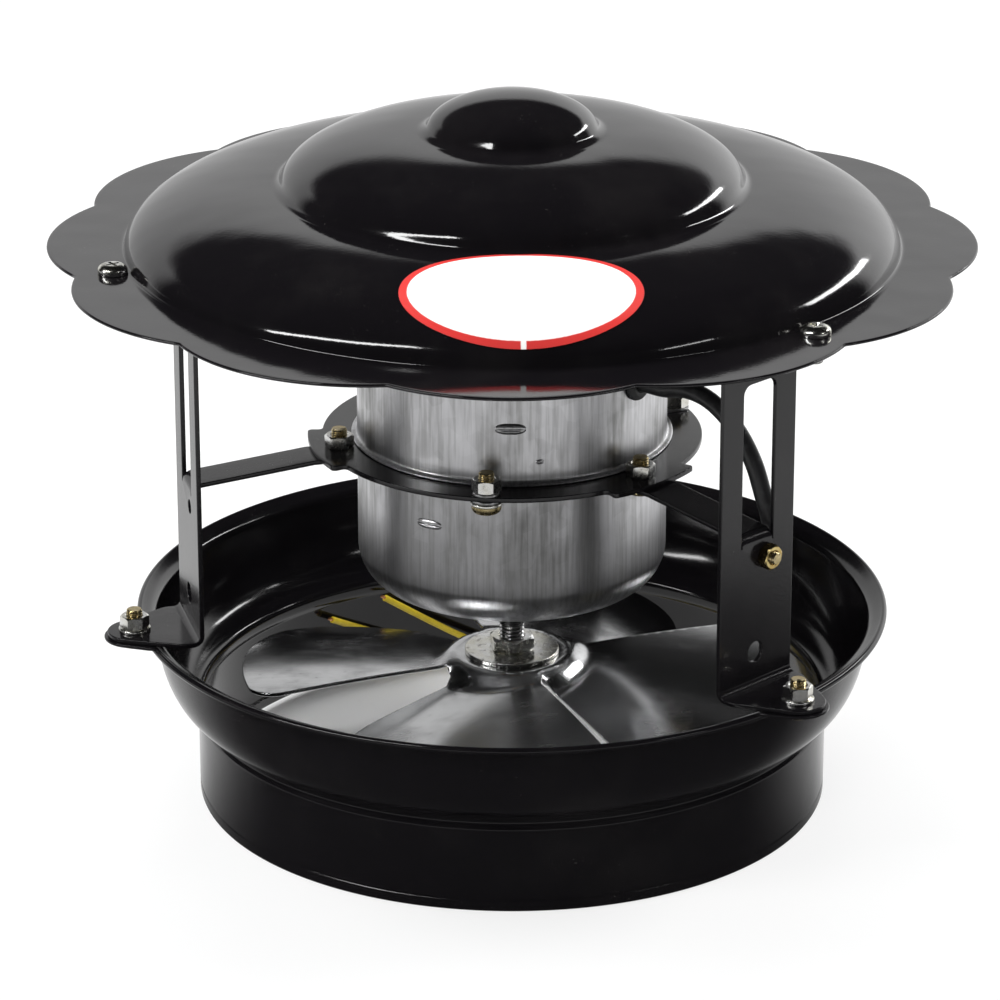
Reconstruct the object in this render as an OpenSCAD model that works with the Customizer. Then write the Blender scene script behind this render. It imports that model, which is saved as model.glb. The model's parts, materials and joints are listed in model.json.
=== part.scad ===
// Chimney draught fan: a round collar and bowl, three slotted struts, a scalloped cap,
// a hanging motor and a four-blade propeller under it.
// Millimetres. Z is up, Z = 0 is the collar's lower edge, the Z axis is the fan's axis.
// Angles run counter-clockwise from +X seen from above; the front is at -90 degrees.

/* [Collar and bowl] */
// outer radius of the collar that slides into the flue sleeve
collar_r = 100; // [80:1:140]
// height at which the collar ends and the neck groove starts
neck_z = 27.5; // [20:0.5:40]
// height of the neck groove
groove_h = 5; // [3:0.5:8]
// depth of the neck groove
groove_d = 1; // [0.6:0.1:1.2]
// outer radius of the bowl's wall
wall_r = 113; // [106:0.5:122]
// height at which the bowl's wall ends and the lip starts
wall_z = 58; // [52:0.5:70]
// outer radius of the rolled lip
lip_r = 118.7; // [116:0.1:126]
// height of the ears' upper face, on which the struts stand
rim_z = 62.5; // [58:0.5:76]
// thickness of the bowl's sheet
sheet_t = 1; // [0.8:0.1:1.2]
// radius of the rolled bead on the lip
bead_r = 1.1; // [0.9:0.1:1.4]
// height of the hem folded inward at the collar's lower edge
hem_h = 3.5; // [2:0.5:6]

/* [Struts] */
// radius of the struts' inner face
strut_r = 102.5; // [99:0.5:106]
// thickness of the struts' sheet
strut_t = 1.5; // [1.2:0.1:2]
// width of a strut
strut_w = 32; // [28:1:40]
// direction of the right-hand front strut, in degrees
strut_phi = -45; // [-60:1:-30]
// outer radius of the struts' bends
bend_r = 3.5; // [2.5:0.5:5]
// radius at which the rim screws stand
rim_bolt_r = 121.5; // [120:0.5:124]
// radius of the round end of a strut's foot
foot_end_r = 8.5; // [7:0.5:10]
// width of the slot that the tongue leaves
slot_w = 14; // [12:0.5:18]
// height of the slot's upper end
slot_top = 161; // [150:1:168]
// height of the tongue's upper face at the strut
tongue_z = 113; // [108:0.5:114]
// shear gap on each side of the tongue
shear_gap = 0.3; // [0.2:0.05:0.5]
// height of the large spare hole in the strut
spare_hole_z = 74.5; // [72:0.5:80]
// radius of the large spare hole
spare_hole_r = 3.25; // [2.5:0.25:4]

/* [Cap] */
// height of the cap flange's upper face
cap_z = 181; // [176:0.5:200]
// thickness of the cap's sheet
cap_t = 1; // [0.8:0.1:1.2]
// how far a petal's tip reaches past the circle of the cap screws
petal_out = 18.5; // [13:0.5:25]
// radius of a petal's edge arc
petal_arc = 60; // [50:1:70]
// number of petals
petal_n = 12; // [12:1:12]
// radius of the dome's foot
dome_r = 119.5; // [117:0.1:119.5]
// radius of the step between the two domes
step_r = 72; // [66:0.5:80]
// rise of the outer dome
dome_h = 19; // [16:0.5:24]
// rise of the inner dome
inner_h = 16.5; // [12:0.5:20]
// radius of the knob
knob_r = 26.5; // [22:0.5:32]
// rise of the knob
knob_h = 11.5; // [8:0.5:15]
// radius at which the cap screws stand
cap_bolt_r = 125; // [124.5:0.1:126]

/* [Motor] */
// outer radius of the two cans
can_r = 48.5; // [44:0.1:48.6]
// thickness of the cans' sheet
can_t = 0.8; // [0.6:0.1:1]
// outer radius of the cans' flanges
flange_r = 50.3; // [49.5:0.1:50.4]
// height of the mounting ring's lower face
ring_z = 117; // [114:0.5:118]
// thickness of the mounting ring
ring_t = 1.6; // [1.2:0.1:2]
// outer radius of the mounting ring
ring_r = 59.5; // [59:0.1:62]
// outer radius of the ring's ears
ring_ear_r = 64; // [62.5:0.5:67]
// radius at which the six motor screws stand
motor_bolt_r = 55.5; // [55.4:0.1:56.5]
// turn from a strut to the free screw after it, in degrees
free_turn = 67; // [50:1:75]
// height of the lower can's bottom
can_bottom = 69.5; // [68:0.5:72]
// height of the upper can's top
can_top = 161; // [158:0.5:166]
// corner radius of the lower can
low_corner = 13; // [8:0.5:14]
// corner radius of the upper can
top_corner = 8; // [5:0.5:9]
// radius of the motor shaft
shaft_r = 4; // [3:0.5:4.5]
// half height of the stator's stack
stack_h = 15; // [12:0.5:16]

/* [Propeller] */
// radius of the blade tips
tip_r = 86; // [78:0.5:88]
// half of a blade's width, in degrees
blade_half = 39; // [30:0.5:41]
// direction of the front blade, in degrees
blade_phi = -107; // [-135:1:-90]
// pitch of the blades, in degrees
blade_pitch = 9; // [4:0.5:10]
// droop of the blades towards their tips, in degrees
blade_droop = 3.4; // [0:0.2:5]
// camber radius of the blades
camber_r = 300; // [220:10:600]
// thickness of the propeller's sheet
blade_t = 1.2; // [1:0.1:1.4]
// radius of the rounded corner on the low side of a blade
low_side_r = 28; // [10:1:30]
// radius of the rounded corner on the high side of a blade
high_side_r = 9; // [4:1:16]
// height of the hub disc's upper face
hub_z = 44; // [43:0.5:46]
// radius of the hub disc
hub_r = 20.5; // [19:0.5:23]
// radius of the hub washers
hub_washer_r = 15; // [12:0.5:16]

/* [Wiring] */
// radius of the black cable
cable_r = 2.75; // [2.4:0.05:2.8]
// radius of a yellow lead
lead_r = 1.1; // [0.9:0.05:1.15]
// height of the cable clip
clip_z = 104.8; // [100:0.2:105]

/* [Label] */
// half width of the oval label
label_a = 35.5; // [25:0.5:38]
// half height of the oval label, seen from above
label_b = 22.6; // [16:0.2:22.8]
// thickness of the label
label_t = 0.2; // [0.15:0.05:0.3]

/* [Hidden] */
$fn = 48;
gap = 0.3;
fit = 0.05;
slip = 0.02;
// M5 hardware: screw, hole, nut and washer
m5_r = 2.5;
m5_hole = 2.75;
m5_nut_r = 8 / 2 / cos(30);
m5_nut_h = 4;
m5_head_r = 4.6;
m5_head_h = 3;
washer_r = 5;
washer_t = 1;
// M4 hardware of the cable clip
m4_r = 2;
m4_hole = 2.2;
m4_nut_r = 7 / 2 / cos(30);
m4_nut_h = 3.2;
m4_head_r = 3.5;
m4_head_h = 2.4;
screw_out = 2;
strut_angles = [for (k = [0:2]) strut_phi + 120 * k];
free_angles = [for (a = strut_angles) a + free_turn];
all_angles = concat(strut_angles, free_angles);
// bowl
neck_top = neck_z + groove_h;
bead_x = lip_r - bead_r;
bead_z = rim_z - bead_r - gap;
ear_x = bead_x - 1.5;
ear_end_r = foot_end_r + 1;
foot_end = rim_bolt_r + foot_end_r;
// strut
strut_top = cap_z - cap_t;
foot_x = strut_r + bend_r;
tongue_half = slot_w / 2 - shear_gap;
slot_bottom = tongue_z - bend_r;
arm_end = flange_r + 0.6;
arm_land = ring_ear_r + 1;
// cap
petal_r = cap_bolt_r + petal_out;
step_z = cap_z + dome_h;
knob_z = step_z + inner_h;
// motor
ring_top = ring_z + ring_t;
free_up_z = ring_top + can_t;
stack_mid = ring_z + ring_t / 2;
stator_r = can_r - can_t - gap;
bore_r = 23.4;
rotor_r = bore_r - gap;
slot_in = 27;
slot_out = 40;
turns_h = 12;
bush_r = 8;
bush_h = 12;
seat_t = 1.2;
low_bush_z = can_bottom + can_t;
boss_h = 4;
boss_r = bush_r + seat_t + 2.5;
up_bush_top = can_top + boss_h - can_t - slip;
up_bush_z = up_bush_top - bush_h;
mid_shaft_r = shaft_r + 1;
thrust_t = 1;
low_shoulder = low_bush_z + bush_h + gap + thrust_t;
up_shoulder = up_bush_z - gap - thrust_t;
shaft_hole = shaft_r + 1.5;
// hub
hub_low = hub_z - blade_t;
hub_washer_t = 1.2;
hub_nut_h = 4.3;
hub_nut_r = 13 / 2 / cos(30);
hub_low_z = hub_low - hub_washer_t - hub_nut_h - 3.3;
skirt_out = hub_r + 2;
skirt_z = hub_z - 7;
// cable: [across the strut's inner face, along the strut's direction, height]
grommet_z = 145.5;
grommet_phi = strut_phi + 7;
grommet_in = 2.9;
grommet_r = 6;
grommet_hole = 4.4;
clip_t = 0.8;
clip_w = 7;
cable_x = strut_r - clip_t - cable_r - 0.2;
cable_y = 11.5;
clip_screw_y = 4;
cable_low = 36;
lead_off = lead_r + gap / 2;
lead_floor = lead_r + 0.1;
lead_outer = collar_r - 2 * sheet_t - gap - lead_r;
lead_inner = lead_outer - 2 * lead_off;
label_r = (step_r + dome_r) / 2 - 0.8;
label_phi = -88.4;

// unit normal to the right of the step from p to q
function side(p, q) = let (d = q - p) [d[1], -d[0]] / norm(d);

// point i of a line moved by d to its right, with mitred corners
function moved(p, i, d) = let (
        n = len(p) - 1,
        a = i == 0 ? side(p[0], p[1]) : side(p[i - 1], p[i]),
        b = i == n ? a : side(p[i], p[i + 1]),
        m = a + b)
    p[i] + d * 2 / (m * m) * m;

// closed outline of a sheet that follows line p and is d thick to its right
function sheet(p, d) = concat(p, [for (i = [len(p) - 1:-1:0]) moved(p, i, d)]);

// points of an arc about c with radii a and b, from angle s to angle e in n steps
function arc(c, a, b, s, e, n) = [for (i = [0:n]) let (t = s + (e - s) * i / n)
    c + [a * cos(t), b * sin(t)]];

// outline with corner i rounded to radius r[i]
function rounded(p, r, n = 5) = let (m = len(p)) [for (i = [0:m - 1]) let (
        b = p[i],
        u = (p[(i + m - 1) % m] - b) / norm(p[(i + m - 1) % m] - b),
        v = (p[(i + 1) % m] - b) / norm(p[(i + 1) % m] - b),
        h = acos(u * v) / 2,
        o = b + (u + v) / norm(u + v) * (r[i] / sin(h)),
        s = b + u * (r[i] / tan(h)) - o,
        e = b + v * (r[i] / tan(h)) - o,
        s_a = atan2(s[1], s[0]),
        turn = (atan2(e[1], e[0]) - s_a + 540) % 360 - 180)
    each r[i] == 0 ? [b] : arc(o, r[i], r[i], s_a, s_a + turn, n)];

// half outline points of a tongue-shaped plate: straight at half width w up to x, then a round end
function ear_plate(x0, x1, w, c, r) = let (
        d = [x1 - c, w],
        a = atan2(d[1], d[0]) - acos(r / norm(d)),
        end = arc([c, 0], r, r, -a, a, 12))
    concat([[x0, w], [x0, -w], [x1, -w]], end, [[x1, w]]);

module around(angles) {
    for (a = angles)
        rotate([0, 0, a])
            children();
}

module stand(p, h, z = 0) {
    translate([0, 0, z])
        linear_extrude(h)
            polygon(p);
}

// plate outline in the plane of the strut's direction and Z, w wide
module across(p, w) {
    rotate([90, 0, 0])
        linear_extrude(w, center = true)
            polygon(p);
}

module pin(r, h, z = 0) {
    translate([0, 0, z])
        cylinder(r = r, h = h);
}

module tube(r_out, r_in, h, z = 0) {
    translate([0, 0, z])
        difference() {
            cylinder(r = r_out, h = h);
            translate([0, 0, -1])
                cylinder(r = r_in, h = h + 2);
        }
}

// pan-head screw with a cross recess: head on top of z, shank downward for length l
module screw(r, l, head_r, head_h) {
    difference() {
        union() {
            rotate_extrude()
                polygon(concat([[0, 0]], [[head_r, 0], [head_r, head_h * 0.35]],
                    arc([head_r * 0.55, head_h * 0.35], head_r * 0.45, head_h * 0.65, 15, 90, 5),
                    [[0, head_h]]));
            rotate_extrude()
                polygon([[0, 0.5], [r, 0.5], [r, 0.6 - l], [r - 0.6, -l], [0, -l]]);
        }
        for (a = [0, 90])
            rotate([0, 0, a])
                translate([-head_r * 0.5, -head_r * 0.11, head_h * 0.4])
                    cube([head_r, head_r * 0.22, head_h]);
    }
}

// hexagon nut with chamfered corners
module nut(r, h, bore) {
    difference() {
        intersection() {
            cylinder(r = r, h = h, $fn = 6);
            rotate_extrude()
                polygon([[0, 0], [r * 0.9, 0], [r, h * 0.12], [r, h * 0.88], [r * 0.9, h], [0, h]]);
        }
        translate([0, 0, -1])
            cylinder(r = bore, h = h + 2);
    }
}

// outer line of the bowl from the collar's lower edge to the lip
bowl_line = concat(
    [[collar_r, 0], [collar_r, neck_z], [collar_r - groove_d, neck_z + 1.2],
        [collar_r - groove_d, neck_top - 1]],
    arc([collar_r + 0.5, wall_z], wall_r - collar_r - 0.5, wall_z - neck_top, -90, 0, 9),
    [[wall_r + 0.5, wall_z + 1], [wall_r + 1.6, wall_z + 1.9], [bead_x, bead_z]]);

module bowl() {
    color("#17161a")
        difference() {
            union() {
                difference() {
                    rotate_extrude($fn = 120)
                        union() {
                            polygon(sheet(bowl_line, -sheet_t));
                            translate([bead_x, bead_z])
                                circle(r = bead_r, $fn = 20);
                            translate([collar_r - 2 * sheet_t, 0])
                                square([sheet_t + 0.1, hem_h]);
                        }
                    around(strut_angles)
                        translate([rim_bolt_r, 0, rim_z - sheet_t - 8])
                            cylinder(r = m5_head_r + gap, h = 8);
                }
                around(strut_angles)
                    stand(ear_plate(ear_x, bead_x + 1, strut_w / 2 - 3, rim_bolt_r, ear_end_r),
                        sheet_t, rim_z - sheet_t);
            }
            around(strut_angles)
                translate([rim_bolt_r, 0, rim_z - 10])
                    cylinder(r = m5_hole, h = 20);
        }
}

// line along the strut's inner face, from the foot's end over the plate to the top flange's end
strut_line = concat(
    [[foot_end, rim_z]],
    arc([foot_x, rim_z + bend_r], bend_r, bend_r, -90, -180, 5),
    arc([foot_x, strut_top - bend_r], bend_r, bend_r, 180, 90, 5),
    [[cap_bolt_r + foot_end_r, strut_top]]);

// line along the outer face and then the upper face of the bent-in tongue
tongue_line = concat(
    [[strut_r + strut_t, slot_bottom - 3]],
    arc([strut_r + strut_t - bend_r, tongue_z - bend_r], bend_r, bend_r, 0, 90, 6),
    [[arm_land, ring_z], [arm_end, ring_z]]);

module strut() {
    difference() {
        union() {
            difference() {
                intersection() {
                    across(sheet(strut_line, strut_t), strut_w);
                    union() {
                        stand(rounded(ear_plate(strut_r - 1, foot_x + 3, strut_w / 2, rim_bolt_r,
                            foot_end_r), concat([0, 0, 6], [for (i = [0:12]) 0], [6])),
                            (strut_top - rim_z) / 2, rim_z);
                        stand(rounded(ear_plate(strut_r - 1, foot_x + 3, strut_w / 2, cap_bolt_r,
                            foot_end_r), concat([0, 0, 6], [for (i = [0:12]) 0], [6])),
                            (strut_top - rim_z) / 2, (strut_top + rim_z) / 2);
                    }
                }
                translate([strut_r - 1, 0, 0])
                    rotate([90, 0, 90])
                        linear_extrude(strut_t + 2)
                            polygon(rounded([[-slot_w / 2, slot_bottom], [slot_w / 2, slot_bottom],
                                [slot_w / 2, slot_top], [-slot_w / 2, slot_top]], [0, 0, 3, 3]));
            }
            across(sheet(tongue_line, -strut_t), 2 * tongue_half);
        }
        translate([rim_bolt_r, 0, rim_z - 5])
            cylinder(r = m5_hole, h = 10);
        translate([cap_bolt_r, 0, strut_top - 5])
            cylinder(r = m5_hole, h = 10);
        translate([motor_bolt_r, 0, ring_z - 5])
            cylinder(r = m5_hole, h = 10);
        translate([strut_r - 3, 0, spare_hole_z])
            rotate([0, 90, 0])
                cylinder(r = spare_hole_r, h = 8);
        translate([strut_r - 3, clip_screw_y, clip_z])
            rotate([0, 90, 0])
                cylinder(r = m4_hole, h = 8);
    }
}

module strut_right() {
    color("#1b1a1e")
        rotate([0, 0, strut_angles[0]])
            strut();
}

module strut_rear() {
    color("#1b1a1e")
        rotate([0, 0, strut_angles[1]])
            strut();
}

module strut_left() {
    color("#1b1a1e")
        rotate([0, 0, strut_angles[2]])
            strut();
}

module rim_screws() {
    color("#d8d4c4")
        around(strut_angles)
            translate([rim_bolt_r, 0, rim_z - sheet_t])
                mirror([0, 0, 1])
                    screw(m5_r, sheet_t + strut_t + washer_t + m5_nut_h + screw_out,
                        m5_head_r, m5_head_h);
}

module rim_washers() {
    color("#d8d4c4")
        around(strut_angles)
            translate([rim_bolt_r, 0, 0])
                tube(washer_r, m5_hole, washer_t, rim_z + strut_t);
}

module rim_nuts() {
    color("#d8d4c4")
        around(strut_angles)
            translate([rim_bolt_r, 0, rim_z + strut_t + washer_t])
                nut(m5_nut_r, m5_nut_h, m5_r + fit);
}

module cap_screws() {
    color("#d8d4c4")
        around(strut_angles)
            translate([cap_bolt_r, 0, cap_z])
                screw(m5_r, cap_t + strut_t + m5_nut_h + screw_out, m5_head_r, m5_head_h);
}

module cap_nuts() {
    color("#d8d4c4")
        around(strut_angles)
            translate([cap_bolt_r, 0, strut_top - strut_t - m5_nut_h])
                nut(m5_nut_r, m5_nut_h, m5_r + fit);
}

// outer line of the cap from the top of the knob to the dome's foot
cap_line = concat(
    [[0, knob_z + knob_h * sin(82)]],
    arc([0, knob_z], knob_r, knob_h, 82, 6, 6),
    arc([knob_r + 0.6, step_z], step_r - knob_r - 1.2, inner_h, 88, 5, 9),
    arc([step_r, cap_z], dome_r - step_r, dome_h, 89, 0, 12));

// radius of the petal edge in direction a
function petal(a) = let (d = abs(a % (360 / petal_n)), s = min(d, 360 / petal_n - d),
        c = petal_r - petal_arc)
    c * cos(s) + sqrt(pow(petal_arc, 2) - pow(c * sin(s), 2));

module cap() {
    color("#17161a")
        difference() {
            union() {
                rotate_extrude($fn = 120)
                    polygon(sheet(concat(cap_line, [[dome_r, cap_z - cap_t]]), cap_t));
                difference() {
                    stand([for (i = [0:10 * petal_n - 1]) let (a = 360 * i / (10 * petal_n))
                        petal(a) * [cos(a), sin(a)]], cap_t, cap_z - cap_t);
                    pin(dome_r - cap_t / 2, 10, cap_z - 5, $fn = 120);
                }
            }
            around(strut_angles)
                translate([cap_bolt_r, 0, cap_z - 5])
                    cylinder(r = m5_hole, h = 10);
        }
}

module motor_ring() {
    color("#1d1c20")
        difference() {
            union() {
                pin(ring_r, ring_t, ring_z, $fn = 96);
                around(strut_angles)
                    intersection() {
                        pin(ring_ear_r, ring_t, ring_z, $fn = 96);
                        stand([[0, 0], [ring_ear_r * 1.1, -20], [ring_ear_r * 1.1, 20]],
                            ring_t, ring_z);
                    }
            }
            pin(can_r - can_t + 0.2, 10, ring_z - 5, $fn = 96);
            around(all_angles)
                translate([motor_bolt_r, 0, ring_z - 5])
                    cylinder(r = m5_hole, h = 10);
        }
}

// flange ears that the free screws clamp, can_t thick above z
module can_ears(z) {
    around(free_angles)
        difference() {
            union() {
                translate([motor_bolt_r, 0, 0])
                    pin(m5_nut_r, can_t, z);
                stand([[can_r + 0.2, 0.6 - m5_nut_r], [motor_bolt_r, 0.6 - m5_nut_r],
                    [motor_bolt_r, m5_nut_r - 0.6], [can_r + 0.2, m5_nut_r - 0.6]], can_t, z);
            }
            translate([motor_bolt_r, 0, z - 5])
                cylinder(r = m5_hole, h = 10);
        }
}

module upper_can() {
    color("#c8c9cc")
        difference() {
            union() {
                rotate_extrude($fn = 96)
                    union() {
                        polygon(sheet(concat([[can_r, ring_top]],
                            arc([can_r - top_corner, can_top - top_corner], top_corner,
                                top_corner, 0, 90, 6),
                            [[boss_r, can_top], [boss_r - 1.2, can_top + boss_h],
                                [0, can_top + boss_h]]), -can_t));
                        translate([can_r - can_t, ring_top])
                            square([flange_r - can_r + can_t, can_t]);
                        translate([bush_r + slip, up_bush_z])
                            square([seat_t, up_bush_top - up_bush_z + slip + can_t / 2]);
                    }
                can_ears(ring_top);
            }
            rotate([0, 0, grommet_phi])
                translate([can_r - 5, 0, grommet_z])
                    rotate([0, 90, 0])
                        cylinder(r = grommet_hole, h = 10);
        }
}

module lower_can() {
    color("#c8c9cc")
        union() {
            rotate_extrude($fn = 96)
                union() {
                    polygon(sheet(concat([[can_r, ring_z]],
                        arc([can_r - low_corner, can_bottom + low_corner], low_corner,
                            low_corner, 0, -90, 8),
                        [[shaft_hole, can_bottom]]), can_t));
                    translate([can_r - can_t, ring_z - can_t])
                        square([flange_r - can_r + can_t, can_t]);
                    translate([bush_r + slip, can_bottom + can_t / 2])
                        square([seat_t, bush_h + can_t / 2]);
                }
            can_ears(ring_z - can_t);
        }
}

module arm_screws() {
    color("#cfcbb8")
        around(strut_angles)
            translate([motor_bolt_r, 0, ring_z - strut_t])
                mirror([0, 0, 1])
                    screw(m5_r, strut_t + ring_t + m5_nut_h + screw_out, m5_head_r, m5_head_h);
}

module arm_nuts() {
    color("#cfcbb8")
        around(strut_angles)
            translate([motor_bolt_r, 0, ring_top])
                nut(m5_nut_r, m5_nut_h, m5_r + fit);
}

module can_screws() {
    color("#cfcbb8")
        around(free_angles)
            translate([motor_bolt_r, 0, ring_z - can_t - washer_t])
                mirror([0, 0, 1])
                    screw(m5_r, washer_t + can_t + ring_t + can_t + m5_nut_h + screw_out,
                        m5_head_r, m5_head_h);
}

module can_washers() {
    color("#cfcbb8")
        around(free_angles)
            translate([motor_bolt_r, 0, 0])
                tube(washer_r, m5_hole, washer_t, ring_z - can_t - washer_t);
}

module can_nuts() {
    color("#cfcbb8")
        around(free_angles)
            translate([motor_bolt_r, 0, free_up_z])
                nut(m5_nut_r, m5_nut_h, m5_r + fit);
}

slots = 12;

module stator_core() {
    color("#8d8f93")
        difference() {
            pin(stator_r, 2 * stack_h, stack_mid - stack_h, $fn = 96);
            pin(bore_r, 2 * stack_h + 2, stack_mid - stack_h - 1);
            around([for (k = [0:slots - 1]) 360 / slots * k])
                translate([slot_in, -3.5, stack_mid - stack_h - 1])
                    cube([slot_out - slot_in, 7, 2 * stack_h + 2]);
            around([for (k = [0:slots - 1]) 360 / slots * k])
                translate([bore_r - 2, -1, stack_mid - stack_h - 1])
                    cube([slot_in - bore_r + 3, 2, 2 * stack_h + 2]);
        }
}

module windings() {
    color("#b5652e")
        union() {
            for (z = [stack_mid + stack_h + gap, stack_mid - stack_h - gap - turns_h])
                rotate_extrude()
                    polygon([[slot_in + 2, z], [slot_out + 1, z], [slot_out + 2.5, z + 3],
                        [slot_out + 1.5, z + turns_h - 3], [slot_out - 2, z + turns_h],
                        [slot_in + 4, z + turns_h], [slot_in + 1, z + turns_h - 3]]);
            around([for (k = [0:slots - 1]) 360 / slots * k])
                translate([slot_in + 2 + gap, -3.5 + gap, stack_mid - stack_h - gap - 0.5])
                    cube([slot_out - slot_in - 2 - 2 * gap, 7 - 2 * gap,
                        2 * stack_h + 2 * gap + 1]);
        }
}

module upper_bush() {
    color("#a8793c")
        tube(bush_r, shaft_r + fit, bush_h, up_bush_z);
}

module lower_bush() {
    color("#a8793c")
        tube(bush_r, shaft_r + fit, bush_h, low_bush_z + slip);
}

module rotor_core() {
    color("#9a9ca0")
        difference() {
            union() {
                pin(rotor_r, 2 * stack_h, stack_mid - stack_h);
                pin(rotor_r - 2, 2 * stack_h + 8, stack_mid - stack_h - 4);
            }
            pin(mid_shaft_r + slip, 4 * stack_h, stack_mid - 2 * stack_h);
            for (z = [stack_mid - stack_h - 5, stack_mid + stack_h + 1])
                pin(rotor_r - 7, 4, z);
        }
}

module shaft() {
    color("#b9bbbf")
        rotate_extrude()
            polygon([[0, hub_low_z], [shaft_r - 0.6, hub_low_z], [shaft_r, hub_low_z + 0.6],
                [shaft_r, low_shoulder], [mid_shaft_r, low_shoulder], [mid_shaft_r, up_shoulder],
                [shaft_r, up_shoulder], [shaft_r, up_bush_top - 1.5],
                [shaft_r - 0.5, up_bush_top - 1], [0, up_bush_top - 1]]);
}

module thrust_washers() {
    color("#e6e2d4") {
        tube(bush_r - 1, shaft_r + fit, thrust_t, low_shoulder - thrust_t);
        tube(bush_r - 1, shaft_r + fit, thrust_t, up_shoulder);
    }
}

module hub_washers() {
    color("#cfd0d3") {
        tube(hub_washer_r, shaft_r + fit, hub_washer_t, hub_z);
        tube(hub_washer_r, shaft_r + fit, hub_washer_t, hub_low - hub_washer_t);
    }
}

module hub_nuts() {
    color("#cfd0d3") {
        translate([0, 0, hub_z + hub_washer_t])
            nut(hub_nut_r, hub_nut_h, shaft_r + fit);
        translate([0, 0, hub_low - hub_washer_t - hub_nut_h])
            nut(hub_nut_r, hub_nut_h, shaft_r + fit);
    }
}

// corner between the blade's side at angle s * blade_half and its tip arc, radius r
function tip_corner(s, r) = let (a = blade_half - asin(r / (tip_r - r)),
        c = (tip_r - r) * [cos(a), s * sin(a)])
    arc(c, r, r, s * (blade_half + 90), s * a, 7);

// outline of one blade seen from above, its middle along X
blade_plan = let (lo = blade_half - asin(low_side_r / (tip_r - low_side_r)),
        hi = blade_half - asin(high_side_r / (tip_r - high_side_r)), hr = hub_r - 2,
        hi_corner = tip_corner(1, high_side_r))
    concat([hr * [cos(blade_half), -sin(blade_half)]], tip_corner(-1, low_side_r),
        [for (i = [1:9]) let (a = -lo + (hi + lo) * i / 10) tip_r * [cos(a), sin(a)]],
        [for (i = [len(hi_corner) - 1:-1:0]) hi_corner[i]],
        [hr * [cos(blade_half), sin(blade_half)]]);

// section of the cambered blade sheet across its direction
blade_arc = arc([0, -camber_r], camber_r, camber_r, 90 - 65 / camber_r * 57.3,
    90 + 65 / camber_r * 57.3, 14);

module propeller() {
    color("#d4d6d9")
        difference() {
            union() {
                rotate_extrude($fn = 72)
                    polygon(sheet([[0, hub_z], [hub_r, hub_z], [skirt_out, skirt_z]], blade_t));
                difference() {
                    around([for (k = [0:3]) blade_phi + 90 * k])
                        intersection() {
                            stand(blade_plan, 60, 5);
                            translate([hub_r, 0, hub_z - 3.8])
                                rotate([0, blade_droop, 0])
                                    rotate([blade_pitch, 0, 0])
                                        translate([-hub_r, 0, 0])
                                            rotate([90, 0, 90])
                                                linear_extrude(tip_r + 5)
                                                    polygon(sheet(blade_arc, -blade_t));
                        }
                    pin(hub_r + 0.6, 60, 5, $fn = 72);
                }
            }
            pin(shaft_r + fit, 60, 5);
        }
}

module grommet() {
    color("#1a1a1a")
        rotate([0, 0, grommet_phi])
            translate([0, 0, grommet_z])
                rotate([0, 90, 0])
                    rotate_extrude($fn = 32)
                        polygon([[grommet_in, can_r - 2.8], [grommet_r - 0.5, can_r - 2.8],
                            [grommet_r, can_r - 2.2], [grommet_r, can_r - 1.4],
                            [grommet_hole - 0.1, can_r - 1.4], [grommet_hole - 0.1, can_r + 0.15],
                            [grommet_r, can_r + 0.15], [grommet_r - 1, can_r + 2],
                            [grommet_in, can_r + 2]]);
}

function unit(v) = v / norm(v);

// point at radius q[0], direction q[1] and height q[2]
function around_axis(q) = [q[0] * cos(q[1]), q[0] * sin(q[1]), q[2]];

// point at x = q[0] along a strut's direction, y = q[1] across it and height q[2]
function at_strut(q) = let (a = strut_phi) [q[0] * cos(a) - q[1] * sin(a),
    q[0] * sin(a) + q[1] * cos(a), q[2]];

function heading(p, i) = let (n = len(p) - 1)
    unit(i == 0 ? p[1] - p[0] : i == n ? p[n] - p[n - 1] : unit(p[i + 1] - p[i]) + unit(p[i] - p[i - 1]));

// sideways vectors carried along the path without twist
function carried(p, u, i = 0) = let (t = heading(p, i), v = unit(u - (u * t) * t))
    i == len(p) - 1 ? [v] : concat([v], carried(p, v, i + 1));

// plain round cord of radius r along the points p
module cord(p, r, n = 8) {
    u = carried(p, [0.13, 0.21, 0.97]);
    m = len(p);
    polyhedron(
        points = [for (i = [0:m - 1]) let (w = cross(heading(p, i), u[i]))
            for (k = [0:n - 1]) p[i] + r * (cos(360 * k / n) * u[i] + sin(360 * k / n) * w)],
        faces = concat([[for (k = [0:n - 1]) k]],
            [for (i = [0:m - 2]) for (k = [0:n - 1])
                [i * n + k, (i + 1) * n + k, (i + 1) * n + (k + 1) % n, i * n + (k + 1) % n]],
            [[for (k = [n - 1:-1:0]) (m - 1) * n + k]]));
}

// the cable leaves the grommet, arches over and runs down the strut's inner face
cable_exit = [for (r = [can_r - 2, can_r + 4, can_r + 10]) around_axis([r, grommet_phi, grommet_z])];
cable_down = [for (q = [
        [66, 8, grommet_z + 1.5],
        [74, 8.5, grommet_z + 0.8],
        [81, 9, grommet_z - 2.5],
        [87.5, 9.8, grommet_z - 8.5],
        [92.5, 10.6, grommet_z - 16.5],
        [95.6, 11.2, grommet_z - 25],
        [cable_x, cable_y, grommet_z - 34],
        [cable_x, cable_y, clip_z],
        [cable_x, cable_y, 88],
        [cable_x, cable_y, 72],
        [cable_x - 0.5, cable_y, 60],
        [cable_x - 1.7, cable_y, 52],
        [cable_x - 3.2, cable_y, 44],
        [cable_x - 4.4, cable_y, cable_low]
    ]) at_strut(q)];
cable_path = concat(cable_exit, cable_down);
low_end = cable_path[len(cable_path) - 1];
low_dir = heading(cable_path, len(cable_path) - 1);
low_r = norm([low_end[0], low_end[1]]);
low_phi = atan2(low_end[1], low_end[0]);

module cable() {
    color("#19191b")
        cord(cable_path, cable_r, 12);
}

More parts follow.
